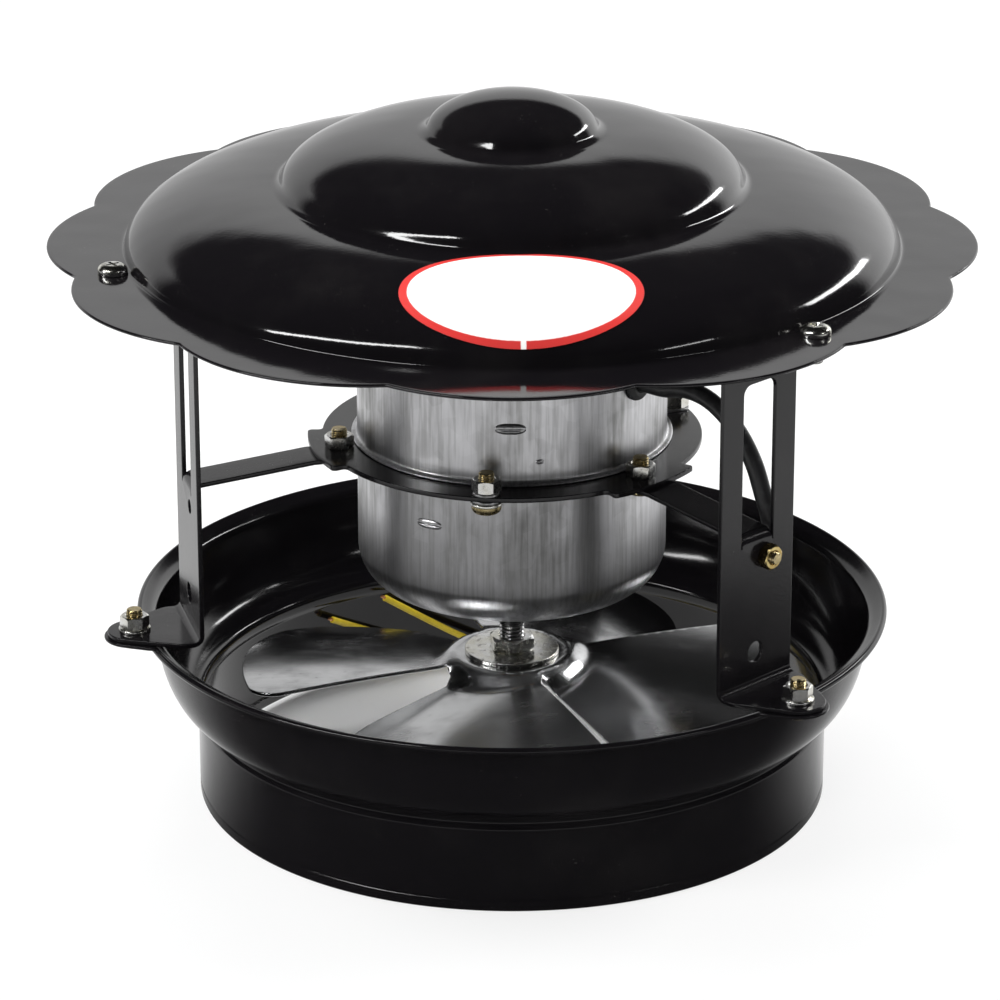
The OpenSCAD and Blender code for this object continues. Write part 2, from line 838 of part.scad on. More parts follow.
module lead_long() {
    color("#e8cf2a")
        cord([for (q = concat([[low_r + lead_off, low_phi, cable_low - 0.6],
                [low_r + lead_off, low_phi + 0.4, 28],
                [(low_r + lead_off + lead_outer) / 2, low_phi + 2, 19],
                [lead_outer, low_phi + 6, 10.5],
                [lead_outer, low_phi + 12, 5],
                [lead_outer, low_phi + 20, 2]],
            [for (a = [-10:10:90]) [lead_outer, a, lead_floor]],
            [[lead_outer, 98, 2], [lead_outer, 105, 5], [lead_outer, 112, 9.5],
                [lead_outer - 0.2, 119, 15], [lead_outer - 0.6, 125, 20],
                [lead_outer - 1, 129, 23.5]])) around_axis(q)], lead_r);
}

module lead_short() {
    color("#e8cf2a")
        cord([for (q = concat([[low_r - lead_off, low_phi, cable_low - 0.6],
                [low_r - lead_off, low_phi + 0.4, 28],
                [(low_r - lead_off + lead_inner) / 2, low_phi + 2, 19],
                [lead_inner, low_phi + 6, 10.5],
                [lead_inner, low_phi + 12, 5],
                [lead_inner, low_phi + 20, 2]],
            [for (a = [-10:10:80]) [lead_inner, a, lead_floor]],
            [[lead_inner, 88, 2], [lead_inner, 95, 5.5], [lead_inner, 101, 10.5],
                [lead_inner, 107, 16.5], [lead_inner, 113, 23],
                [lead_inner, 117, 27.5]])) around_axis(q)], lead_r);
}

module cable_clip() {
    color("#2a2a2d")
        rotate([0, 0, strut_phi])
            difference() {
                union() {
                    translate([strut_r - clip_t, 0, clip_z - clip_w / 2])
                        cube([clip_t, cable_y, clip_w]);
                    translate([cable_x, cable_y, 0])
                        pin(cable_r + 0.15 + clip_t, clip_w, clip_z - clip_w / 2);
                }
                translate([cable_x, cable_y, 0])
                    pin(cable_r + 0.15, clip_w + 2, clip_z - clip_w / 2 - 1);
                translate([strut_r - 3, clip_screw_y, clip_z])
                    rotate([0, 90, 0])
                        cylinder(r = m4_hole, h = 8);
            }
}

module clip_screw() {
    color("#cfcbb8")
        rotate([0, 0, strut_phi])
            translate([strut_r - clip_t, clip_screw_y, clip_z])
                rotate([0, -90, 0])
                    screw(m4_r, clip_t + strut_t + m4_nut_h + 1.4, m4_head_r, m4_head_h);
}

module clip_nut() {
    color("#d9b64a")
        rotate([0, 0, strut_phi])
            translate([strut_r + strut_t, clip_screw_y, clip_z])
                rotate([0, 90, 0])
                    nut(m4_nut_r, m4_nut_h, m4_r + fit);
}

module label() {
    color("#f4f2ee")
        intersection() {
            rotate_extrude($fn = 120)
                polygon(let (line = arc([step_r, cap_z], dome_r - step_r, dome_h, 89, 4, 12))
                    concat([for (i = [0:12]) moved(line, i, -0.08)],
                        [for (i = [12:-1:0]) moved(line, i, -0.08 - label_t)]));
            rotate([0, 0, label_phi])
                stand([for (i = [0:47]) [label_r + label_b * cos(7.5 * i), label_a * sin(7.5 * i)]],
                    60, cap_z - 2);
        }
}

bowl();
cap();
strut_left();
strut_right();
strut_rear();
rim_screws();
rim_washers();
rim_nuts();
cap_screws();
cap_nuts();
motor_ring();
upper_can();
lower_can();
arm_screws();
arm_nuts();
can_screws();
can_washers();
can_nuts();
stator_core();
windings();
upper_bush();
lower_bush();
rotor_core();
shaft();
thrust_washers();
hub_washers();
hub_nuts();
propeller();
grommet();
cable();
lead_long();
lead_short();
cable_clip();
clip_screw();
clip_nut();
label();
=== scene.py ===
"""Looks of the chimney draught fan: smooth sheet metal, hardware, wiring, finishes, camera and studio."""

from __future__ import annotations

import json
import logging
import math
from dataclasses import dataclass, field
from enum import Enum
from typing import Callable, Iterable, Sequence

import bmesh
import bpy
import numpy as np
from mathutils import Matrix, Vector
from mathutils.geometry import delaunay_2d_cdt

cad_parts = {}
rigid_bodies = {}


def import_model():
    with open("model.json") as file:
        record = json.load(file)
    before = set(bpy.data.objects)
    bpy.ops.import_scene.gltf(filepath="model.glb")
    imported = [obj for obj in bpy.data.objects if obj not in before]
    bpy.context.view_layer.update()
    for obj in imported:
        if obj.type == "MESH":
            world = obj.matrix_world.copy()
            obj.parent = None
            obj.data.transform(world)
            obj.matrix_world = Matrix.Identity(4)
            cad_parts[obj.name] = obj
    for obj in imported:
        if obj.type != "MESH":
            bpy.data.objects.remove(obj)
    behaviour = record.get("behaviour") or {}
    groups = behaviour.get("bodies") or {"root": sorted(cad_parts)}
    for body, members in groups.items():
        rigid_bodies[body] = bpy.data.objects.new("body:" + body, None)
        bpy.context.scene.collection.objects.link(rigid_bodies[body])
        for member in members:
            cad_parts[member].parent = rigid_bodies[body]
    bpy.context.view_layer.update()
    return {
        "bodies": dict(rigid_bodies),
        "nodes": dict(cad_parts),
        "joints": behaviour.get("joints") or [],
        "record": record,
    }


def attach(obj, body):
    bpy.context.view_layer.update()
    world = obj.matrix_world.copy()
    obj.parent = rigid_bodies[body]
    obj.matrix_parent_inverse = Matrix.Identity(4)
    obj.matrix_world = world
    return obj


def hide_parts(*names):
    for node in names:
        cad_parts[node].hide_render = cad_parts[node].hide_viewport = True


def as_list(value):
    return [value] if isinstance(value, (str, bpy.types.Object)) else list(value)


log = logging.getLogger("draught_fan")

MM = 0.001
Setter = Callable[[np.ndarray, np.ndarray, np.ndarray], np.ndarray]


class Body(Enum):
    """The two moving bodies of the fan."""

    FRAME = "frame"
    ROTOR = "rotor"


class Slot(Enum):
    """The record's material slots."""

    BLACK_PAINT = "black_paint"
    PLATED_STEEL = "plated_steel"
    GOLD_PLATED = "gold_plated_steel"
    CAN_METAL = "can_metal"
    CORE_STEEL = "core_steel"
    WINDING = "winding_wire"
    BRONZE = "bush_bronze"
    ROTOR_ALUMINIUM = "rotor_aluminium"
    SHAFT_STEEL = "shaft_steel"
    THRUST_PLASTIC = "thrust_plastic"
    BLADE_ALUMINIUM = "blade_aluminium"
    RUBBER = "black_rubber"
    CABLE_JACKET = "cable_jacket"
    YELLOW_JACKET = "yellow_jacket"
    LABEL_FILM = "label_film"


class Face(Enum):
    """Which bearing face a screw's head sits on."""

    UP = 1
    DOWN = -1


# Shader tools


class Wire:
    """One output socket of a shader tree, with arithmetic that adds the Math nodes."""

    def __init__(self, shader: Shader, socket: bpy.types.NodeSocket) -> None:
        """Keeps the tree and the socket."""
        self.shader = shader
        self.socket = socket

    def _math(self, operation: str, *values: float | Wire) -> Wire:
        """Adds one Math node.

        Args:
            operation: the node's operation.
            values: numbers or wires for its inputs, in order.

        Returns:
            The node's result.
        """
        return self.shader.node("ShaderNodeMath", {"operation": operation}, dict(enumerate(values)))

    def __add__(self, other: float | Wire) -> Wire:
        """self + other."""
        return self._math("ADD", self, other)

    __radd__ = __add__

    def __sub__(self, other: float | Wire) -> Wire:
        """self - other."""
        return self._math("SUBTRACT", self, other)

    def __rsub__(self, other: float | Wire) -> Wire:
        """other - self."""
        return self._math("SUBTRACT", other, self)

    def __mul__(self, other: float | Wire) -> Wire:
        """self * other."""
        return self._math("MULTIPLY", self, other)

    __rmul__ = __mul__

    def __truediv__(self, other: float | Wire) -> Wire:
        """self / other."""
        return self._math("DIVIDE", self, other)

    def __pow__(self, other: float | Wire) -> Wire:
        """self to the power of other."""
        return self._math("POWER", self, other)

    def above(self, level: float, soft: float) -> Wire:
        """1 where the wire is above level, 0 below, with a soft edge.

        Args:
            level: the value at which the mask is a half.
            soft: the width of the edge.

        Returns:
            A mask from 0 to 1.
        """
        return self.shader.node(
            "ShaderNodeMapRange",
            {"interpolation_type": "SMOOTHSTEP"},
            {"Value": self, "From Min": level - soft / 2, "From Max": level + soft / 2},
        )

    def lifted(self, low: float, high: float) -> Wire:
        """The wire, taken as 0 to 1, stretched to run from low to high."""
        return self * (high - low) + low


class Shader:
    """Builds one node material on the Principled shader."""

    def __init__(self, name: str) -> None:
        """Starts an empty material.

        Args:
            name: the material's name.
        """
        self.material = bpy.data.materials.new(name)
        self.material.use_nodes = True
        self.tree = self.material.node_tree
        self.tree.nodes.clear()
        self.output = self.tree.nodes.new("ShaderNodeOutputMaterial")
        self.surface = self.tree.nodes.new("ShaderNodeBsdfPrincipled")
        self.tree.links.new(self.surface.outputs[0], self.output.inputs["Surface"])

    def node(
        self, kind: str, settings: dict | None = None, inputs: dict | None = None, out: int | str = 0
    ) -> Wire:
        """Adds any node.

        Args:
            kind: the node's type.
            settings: properties set first; a ramp's stops go under "stops".
            inputs: values or wires by socket name or number.
            out: the output socket that is returned.

        Returns:
            The chosen output.
        """
        made = self.tree.nodes.new(kind)
        for key, value in (settings or {}).items():
            if key == "stops":
                ramp = made.color_ramp
                while len(ramp.elements) < len(value):
                    ramp.elements.new(0.5)
                for element, (at, colour) in zip(ramp.elements, value):
                    element.position = at
                    element.color = (*colour, 1.0)
            else:
                setattr(made, key, value)
        for key, value in (inputs or {}).items():
            self.feed(made.inputs[key], value)
        return Wire(self, made.outputs[out])

    def feed(self, socket: bpy.types.NodeSocket, value: float | Sequence[float] | Wire) -> None:
        """Links or sets one input socket."""
        if isinstance(value, Wire):
            self.tree.links.new(value.socket, socket)
        else:
            socket.default_value = value

    def place(self) -> Wire:
        """Object coordinates, in metres."""
        return self.node("ShaderNodeTexCoord", out="Object")

    def moved(self, scale: Sequence[float], turn: Sequence[float] = (0, 0, 0)) -> Wire:
        """Object coordinates, scaled and turned.

        Args:
            scale: repeats per metre along x, y and z.
            turn: turn about x, y and z, in radians.

        Returns:
            The vector.
        """
        return self.node(
            "ShaderNodeMapping", None, {"Vector": self.place(), "Scale": scale, "Rotation": turn}
        )

    def noise(
        self, scale: float, detail: float = 2.0, vector: Wire | None = None, rough: float = 0.5
    ) -> Wire:
        """Smooth noise from 0 to 1.

        Args:
            scale: features per metre.
            detail: number of finer layers.
            vector: where it is read; Object coordinates if left out.
            rough: strength of the finer layers.

        Returns:
            The noise value.
        """
        return self.node(
            "ShaderNodeTexNoise",
            None,
            {
                "Vector": vector or self.place(),
                "Scale": scale,
                "Detail": detail,
                "Roughness": rough,
            },
        )

    def around_lines(self, along: float, fine: float) -> Wire:
        """Fine lines that run round the Z axis, as turning and drawing leave them.

        Args:
            along: features per radian along the lines.
            fine: lines per metre of radius and height.

        Returns:
            The noise value.
        """
        parts = self.tree.nodes.new("ShaderNodeSeparateXYZ")
        self.feed(parts.inputs[0], self.place())
        x, y, z = (Wire(self, parts.outputs[i]) for i in range(3))
        angle = self.node("ShaderNodeMath", {"operation": "ARCTAN2"}, {0: y, 1: x})
        radius = (x * x + y * y) ** 0.5
        vector = self.node(
            "ShaderNodeCombineXYZ", None, {0: angle * along, 1: radius * fine, 2: z * fine}
        )
        return self.noise(1.0, 3.0, vector)

    def mixed(
        self, mask: Wire | float, first: Wire | Sequence[float], second: Wire | Sequence[float]
    ) -> Wire:
        """A colour mix.

        Args:
            mask: 0 for first, 1 for second.
            first: colour or wire.
            second: colour or wire.

        Returns:
            The mixed colour.
        """
        made = self.tree.nodes.new("ShaderNodeMix")
        made.data_type = "RGBA"
        self.feed(made.inputs["Factor"], mask)
        for socket, value in ((made.inputs[6], first), (made.inputs[7], second)):
            self.feed(socket, value if isinstance(value, Wire) else (*value, 1.0))
        return Wire(self, made.outputs[2])

    def bumped(self, *layers: tuple[Wire, float]) -> None:
        """Feeds Normal with bumps.

        Args:
            layers: pairs of a height wire and the height in metres that 1 stands for.
        """
        normal: Wire | None = None
        for height, depth in layers:
            inputs = {"Height": height, "Distance": depth, "Strength": 1.0}
            if normal is not None:
                inputs["Normal"] = normal
            normal = self.node("ShaderNodeBump", None, inputs)
        self.feed(self.surface.inputs["Normal"], normal)

    def set(self, **sockets: float | Sequence[float] | Wire) -> Shader:
        """Sets sockets of the Principled shader; an underscore in a name stands for a space."""
        for name, value in sockets.items():
            socket = self.surface.inputs[name.replace("_", " ")]
            if not isinstance(value, Wire) and hasattr(value, "__len__"):
                value = (*value, 1.0)
            self.feed(socket, value)
        return self


@dataclass(frozen=True)
class GlossEnamel:
    """Black stoved enamel over pressed sheet: faint orange peel, soft dents, dust and wipe marks."""

    colour: tuple[float, float, float] = (0.0045, 0.0040, 0.0048)
    dust: tuple[float, float, float] = (0.16, 0.15, 0.14)
    roughness: float = 0.13
    peel: float = 0.000012
    sway: float = 0.00022
    shine: float = 0.5

    def make(self, name: str) -> bpy.types.Material:
        """Builds the material.

        Args:
            name: the material's name.

        Returns:
            The finished material.
        """
        s = Shader(name)
        wiped = s.noise(26.0, 4.0, rough=0.62)
        grain = s.noise(5200.0, 1.0)
        specks = s.noise(1900.0, 2.0).above(0.735, 0.03)
        drift = s.noise(55.0, 3.0).above(0.56, 0.28)
        dusty = specks * drift
        film = wiped.above(0.60, 0.30) * 0.02
        s.set(
            Base_Color=s.mixed(dusty * 0.5 + film, self.colour, self.dust),
            Roughness=wiped.lifted(self.roughness - 0.03, self.roughness + 0.05) + dusty * 0.25,
            Specular_IOR_Level=self.shine,
            Coat_Weight=0.12,
            Coat_Roughness=0.06,
        )
        s.bumped((s.noise(46.0, 1.0), self.sway), (s.noise(900.0, 1.0), self.peel), (grain, 0.0000008))
        return s.material


@dataclass(frozen=True)
class DrawnCan:
    """Galvanised steel drawn into a can: streaks down the wall, a faint spangle and dull stains."""

    bright: tuple[float, float, float] = (0.78, 0.78, 0.80)
    dull: tuple[float, float, float] = (0.30, 0.30, 0.29)

    def make(self, name: str) -> bpy.types.Material:
        """Builds the material.

        Args:
            name: the material's name.

        Returns:
            The finished material.
        """
        s = Shader(name)
        lines = s.noise(760.0, 3.0, s.moved((1.0, 1.0, 0.045)), 0.6)
        bands = s.noise(95.0, 2.0, s.moved((1.0, 1.0, 0.06)))
        rubbed = s.noise(34.0, 5.0, s.moved((1.0, 1.0, 0.45)), 0.65)
        spangle = s.node(
            "ShaderNodeTexVoronoi", {"feature": "F1"}, {"Vector": s.place(), "Scale": 210.0}, "Color"
        )
        flake = s.node("ShaderNodeSeparateColor", None, {0: spangle})
        stain = rubbed.above(0.58, 0.26)
        shade = stain * 0.42 + lines.above(0.52, 0.3) * 0.34 + bands.above(0.55, 0.3) * 0.22 + flake * 0.10
        s.set(
            Base_Color=s.mixed(shade, self.bright, self.dull),
            Metallic=1.0,
            Roughness=lines.lifted(0.24, 0.38) + stain * 0.14 + flake * 0.04,
        )
        s.bumped((s.noise(38.0, 2.0), 0.00024), (lines, 0.000016), (flake, 0.000003))
        return s.material


@dataclass(frozen=True)
class RolledAluminium:
    """Bright pressed aluminium sheet: a rolled grain, soft rub marks and small dings."""

    bright: tuple[float, float, float] = (0.62, 0.625, 0.63)
    dull: tuple[float, float, float] = (0.40, 0.40, 0.41)

    def make(self, name: str) -> bpy.types.Material:
        """Builds the material.

        Args:
            name: the material's name.

        Returns:
            The finished material.
        """
        s = Shader(name)
        grain = s.noise(1.0, 3.0, s.moved((60.0, 2600.0, 300.0), (0.0, 0.0, 0.5)))
        rubbed = s.noise(34.0, 5.0, rough=0.6)
        smear = rubbed.above(0.57, 0.24)
        ding = s.noise(420.0, 1.0).above(0.76, 0.03)
        s.set(
            Base_Color=s.mixed(smear * 0.45 + grain * 0.20 + ding * 0.2, self.bright, self.dull),
            Metallic=1.0,
            Roughness=grain.lifted(0.11, 0.22) + smear * 0.12,
        )
        s.bumped((s.noise(30.0, 1.0), 0.00035), (grain, 0.0000040), (ding, -0.00002))
        return s.material


@dataclass(frozen=True)
class PlatedSteel:
    """Plated fastener steel: a fine matt grain, a colour drift in the passivation and rubbed spots."""

    colour: tuple[float, float, float] = (0.88, 0.88, 0.87)
    drift: tuple[float, float, float] = (0.74, 0.72, 0.62)
    roughness: float = 0.20

    def make(self, name: str) -> bpy.types.Material:
        """Builds the material.

        Args:
            name: the material's name.

        Returns:
            The finished material.
        """
        s = Shader(name)
        tint = s.noise(150.0, 3.0).above(0.52, 0.35)
        grain = s.noise(4200.0, 2.0)
        soil = s.noise(420.0, 4.0).above(0.62, 0.16)
        s.set(
            Base_Color=s.mixed(soil * 0.3, s.mixed(tint * 0.8, self.colour, self.drift), (0.20, 0.18, 0.15)),
            Metallic=1.0,
            Roughness=grain.lifted(self.roughness - 0.06, self.roughness + 0.10) + soil * 0.15,
        )
        s.bumped((s.noise(260.0, 2.0), 0.00004), (grain, 0.000004))
        return s.material


@dataclass(frozen=True)
class TurnedMetal:
    """Machined bar or ring: fine tool lines round the axis and a light oil film."""

    colour: tuple[float, float, float] = (0.70, 0.70, 0.71)
    dull: tuple[float, float, float] = (0.42, 0.41, 0.40)
    roughness: float = 0.18
    pitch: float = 5200.0

    def make(self, name: str) -> bpy.types.Material:
        """Builds the material.

        Args:
            name: the material's name.

        Returns:
            The finished material.
        """
        s = Shader(name)
        lines = s.around_lines(0.8, self.pitch)
        oil = s.noise(90.0, 4.0).above(0.55, 0.3)
        s.set(
            Base_Color=s.mixed(lines * 0.35 + oil * 0.35, self.colour, self.dull),
            Metallic=1.0,
            Roughness=lines.lifted(self.roughness - 0.06, self.roughness + 0.12),
        )
        s.bumped((lines, 0.000008))
        return s.material


@dataclass(frozen=True)
class StackedPlates:
    """Punched steel plates stacked edge on, with a dark oxide and a bright cut edge."""

    colour: tuple[float, float, float] = (0.30, 0.31, 0.33)
    gap: tuple[float, float, float] = (0.06, 0.055, 0.05)
    sheet: float = 0.0005

    def make(self, name: str) -> bpy.types.Material:
        """Builds the material.

        Args:
            name: the material's name.

        Returns:
            The finished material.
        """
        s = Shader(name)
        plates = s.node(
            "ShaderNodeTexWave",
            {"wave_type": "BANDS", "bands_direction": "Z"},
            {"Vector": s.place(), "Scale": 0.31 / self.sheet, "Distortion": 0.2},
        )
        rust = s.noise(160.0, 4.0).above(0.6, 0.2)
        s.set(
            Base_Color=s.mixed(rust * 0.5, s.mixed(plates, self.gap, self.colour), (0.16, 0.07, 0.03)),
            Metallic=1.0,
            Roughness=plates.lifted(0.55, 0.35) + rust * 0.2,
        )
        s.bumped((plates, 0.00006), (s.noise(900.0, 2.0), 0.00001))
        return s.material


@dataclass(frozen=True)
class EnamelledWire:
    """Varnished copper windings: fine turns laid round the axis under a glossy varnish."""

    colour: tuple[float, float, float] = (0.55, 0.20, 0.06)
    deep: tuple[float, float, float] = (0.20, 0.05, 0.015)

    def make(self, name: str) -> bpy.types.Material:
        """Builds the material.

        Args:
            name: the material's name.

        Returns:
            The finished material.
        """
        s = Shader(name)
        turns = s.around_lines(1.2, 2400.0)
        pooled = s.noise(120.0, 3.0).above(0.56, 0.3)
        s.set(
            Base_Color=s.mixed(turns.above(0.5, 0.3) * 0.7 + pooled * 0.3, self.colour, self.deep),
            Metallic=0.35,
            Roughness=turns.lifted(0.22, 0.42),
            Coat_Weight=0.5,
            Coat_Roughness=0.15,
        )
        s.bumped((turns, 0.00025))
        return s.material


@dataclass(frozen=True)
class SoftPlastic:
    """Cable jacket, rubber or washer plastic: a fine moulded skin, scuffs and a little dust."""

    colour: tuple[float, float, float]
    worn: tuple[float, float, float]
    roughness: float = 0.42
    grain: float = 0.00002

    def make(self, name: str) -> bpy.types.Material:
        """Builds the material.

        Args:
            name: the material's name.

        Returns:
            The finished material.
        """
        s = Shader(name)
        scuff = s.noise(240.0, 4.0).above(0.60, 0.18)
        shade = s.noise(70.0, 3.0)
        skin = s.noise(2600.0, 2.0)
        s.set(
            Base_Color=s.mixed(scuff * 0.5 + shade * 0.25, self.colour, self.worn),
            Roughness=skin.lifted(self.roughness - 0.08, self.roughness + 0.08) + scuff * 0.15,
        )
        s.bumped((skin, self.grain), (shade, 0.00008))
        return s.material


@dataclass(frozen=True)
class PrintedOval:
    """White film with a red rim that follows the oval, broken by a small nick at its lowest point."""

    centre: tuple[float, float]
    half: tuple[float, float]
    turn: float
    rim: float = 0.066
    nick: float = 0.022
    white: tuple[float, float, float] = (0.86, 0.86, 0.85)
    red: tuple[float, float, float] = (0.54, 0.007, 0.004)

    def make(self, name: str) -> bpy.types.Material:
        """Builds the material.

        Args:
            name: the material's name.

        Returns:
            The finished material.
        """
        s = Shader(name)
        parts = s.tree.nodes.new("ShaderNodeSeparateXYZ")
        s.feed(
            parts.inputs[0],
            s.node(
                "ShaderNodeVectorRotate",
                {"rotation_type": "Z_AXIS"},
                {"Vector": s.place(), "Angle": -self.turn},
            ),
        )
        out, side = Wire(s, parts.outputs[0]), Wire(s, parts.outputs[1])
        u = (out - self.centre[0]) / self.half[0]
        v = (side - self.centre[1]) / self.half[1]
        reach = (u * u + v * v) ** 0.5
        broken = (v * v) ** 0.5
        nick = (1.0 - broken.above(self.nick, 0.01)) * u.above(0.0, 0.01)
        red = (reach + s.noise(900.0, 2.0) * 0.006).above(1.0 - self.rim, 0.012) * (1.0 - nick)
        soil = s.noise(130.0, 4.0).above(0.58, 0.3)
        paper = s.mixed(soil * 0.22, self.white, (0.62, 0.60, 0.56))
        s.set(
            Base_Color=s.mixed(red * 0.97, paper, self.red),
            Roughness=soil.lifted(0.30, 0.45),
            Coat_Weight=0.2,
            Coat_Roughness=0.2,
        )
        s.bumped((s.noise(60.0, 2.0), 0.00006), (s.noise(1500.0, 2.0), 0.000006))
        return s.material


@dataclass(frozen=True)
class MattFloor:
    """Pale table top with a barely visible tooth. In reflections it is a painted reflection: a glow that is dim
    close in front of the part and bright farther off and behind it. To the camera it glows evenly, except in its
    bore, where the glow is cut as painted shade.
    """

    colour: tuple[float, float, float] = (0.86, 0.86, 0.86)
    near: float = 0.33
    far: float = 0.44
    # Radius inside which the floor's glow is cut, as painted shade under the fan.
    painted_shade_bore: float = 0.097
    near_glow: float = 0.05
    far_glow: float = 0.85

    def make(self, name: str) -> bpy.types.Material:
        """Builds the material.

        Args:
            name: the material's name.

        Returns:
            The finished material.
        """
        s = Shader(name)
        tooth = s.noise(40.0, 3.0)
        s.set(Base_Color=s.mixed(tooth * 0.04, self.colour, (0.8, 0.8, 0.8)), Roughness=0.9)
        s.bumped((tooth, 0.0001))
        rays = s.tree.nodes.new("ShaderNodeLightPath")
        parts = s.tree.nodes.new("ShaderNodeSeparateXYZ")
        s.feed(parts.inputs[0], s.place())
        x, y = Wire(s, parts.outputs[0]), Wire(s, parts.outputs[1])
        reach = (x * x + y * y) ** 0.5
        # Painted reflection: glossy rays see the floor as a glow, dim close in front of the part and bright
        # farther off and behind it, in place of lit floor.
        away = reach.above(self.near, self.far - self.near)
        behind = y.above(-0.02, 0.10)
        apart = away + behind - away * behind
        reflected = self._blend(s, apart, self._glow(s, self.near_glow), self._glow(s, self.far_glow))
        # Painted shade: the camera sees the floor as an even glow, cut inside the collar's bore so the floor
        # there shows dark, as in the fan's shadow.
        seen = Wire(s, rays.outputs["Is Camera Ray"]) * reach.above(self.painted_shade_bore, 0.004) * 0.72
        floor = self._blend(s, seen, s.surface.outputs[0], self._glow(s, 1.0))
        mirrored = self._blend(s, Wire(s, rays.outputs["Is Glossy Ray"]), floor, reflected)
        s.tree.links.new(mirrored, s.output.inputs["Surface"])
        return s.material

    @staticmethod
    def _glow(s: Shader, strength: float) -> bpy.types.NodeSocket:
        """A plain white emission."""
        glow = s.tree.nodes.new("ShaderNodeEmission")
        glow.inputs["Strength"].default_value = strength
        return glow.outputs[0]

    @staticmethod
    def _blend(
        s: Shader, factor: Wire, first: bpy.types.NodeSocket, second: bpy.types.NodeSocket
    ) -> bpy.types.NodeSocket:
        """A mix of two shaders."""
        mix = s.tree.nodes.new("ShaderNodeMixShader")
        s.feed(mix.inputs[0], factor)
        s.tree.links.new(first, mix.inputs[1])
        s.tree.links.new(second, mix.inputs[2])
        return mix.outputs[0]


class Finishes:
    """All the fan's materials, made once."""

    def __init__(
        self, label_centre: tuple[float, float], label_half: tuple[float, float], turn: float
    ) -> None:
        """Builds every material.

        Args:
            label_centre: the label's centre in its turned frame, in metres.
            label_half: the label's half sizes, in metres.
            turn: the label's direction about Z, in radians.
        """
        self.cap_enamel = GlossEnamel(roughness=0.075, sway=0.00026).make("cap_enamel")
        self.bowl_enamel = GlossEnamel(roughness=0.12, sway=0.00018, shine=0.32).make("bowl_enamel")
        strut = GlossEnamel(roughness=0.17, sway=0.00010, peel=0.00002, shine=0.40)
        self.strut_enamel = strut.make("strut_enamel")
        self.can = DrawnCan().make("drawn_can")
        self.blade = RolledAluminium().make("rolled_aluminium")
        self.zinc = PlatedSteel().make("bright_zinc")
        self.brassy = PlatedSteel((0.70, 0.58, 0.33), (0.42, 0.33, 0.14), 0.22).make("yellow_zinc")
        self.gold = PlatedSteel((0.86, 0.70, 0.32), (0.66, 0.45, 0.14), 0.18).make("gold_zinc")
        self.shaft = TurnedMetal().make("ground_shaft")
        self.bronze = TurnedMetal((0.56, 0.36, 0.16), (0.30, 0.18, 0.08), 0.35, 2600.0).make("bush_bronze")
        self.rotor = TurnedMetal((0.66, 0.67, 0.68), (0.32, 0.32, 0.33), 0.30, 1800.0).make("rotor_metal")
        self.plates = StackedPlates().make("stator_plates")
        self.wire = EnamelledWire().make("motor_windings")
        self.rubber = SoftPlastic((0.018, 0.018, 0.019), (0.07, 0.07, 0.07), 0.6).make("grommet_rubber")
        jacket = SoftPlastic((0.014, 0.014, 0.015), (0.06, 0.06, 0.062), 0.34, 0.00003)
        self.jacket = jacket.make("cable_jacket")
        self.yellow = SoftPlastic((0.83, 0.64, 0.035), (0.60, 0.42, 0.03), 0.36).make("yellow_jacket")
        self.copper = TurnedMetal((0.80, 0.42, 0.24), (0.45, 0.18, 0.08), 0.26, 9000.0).make("copper_strands")
        self.nylon = SoftPlastic((0.78, 0.75, 0.66), (0.55, 0.50, 0.40), 0.45).make("washer_nylon")
        self.label = PrintedOval(label_centre, label_half, turn).make("oval_label")
        self.floor = MattFloor().make("pale_floor")


# Line and mesh tools


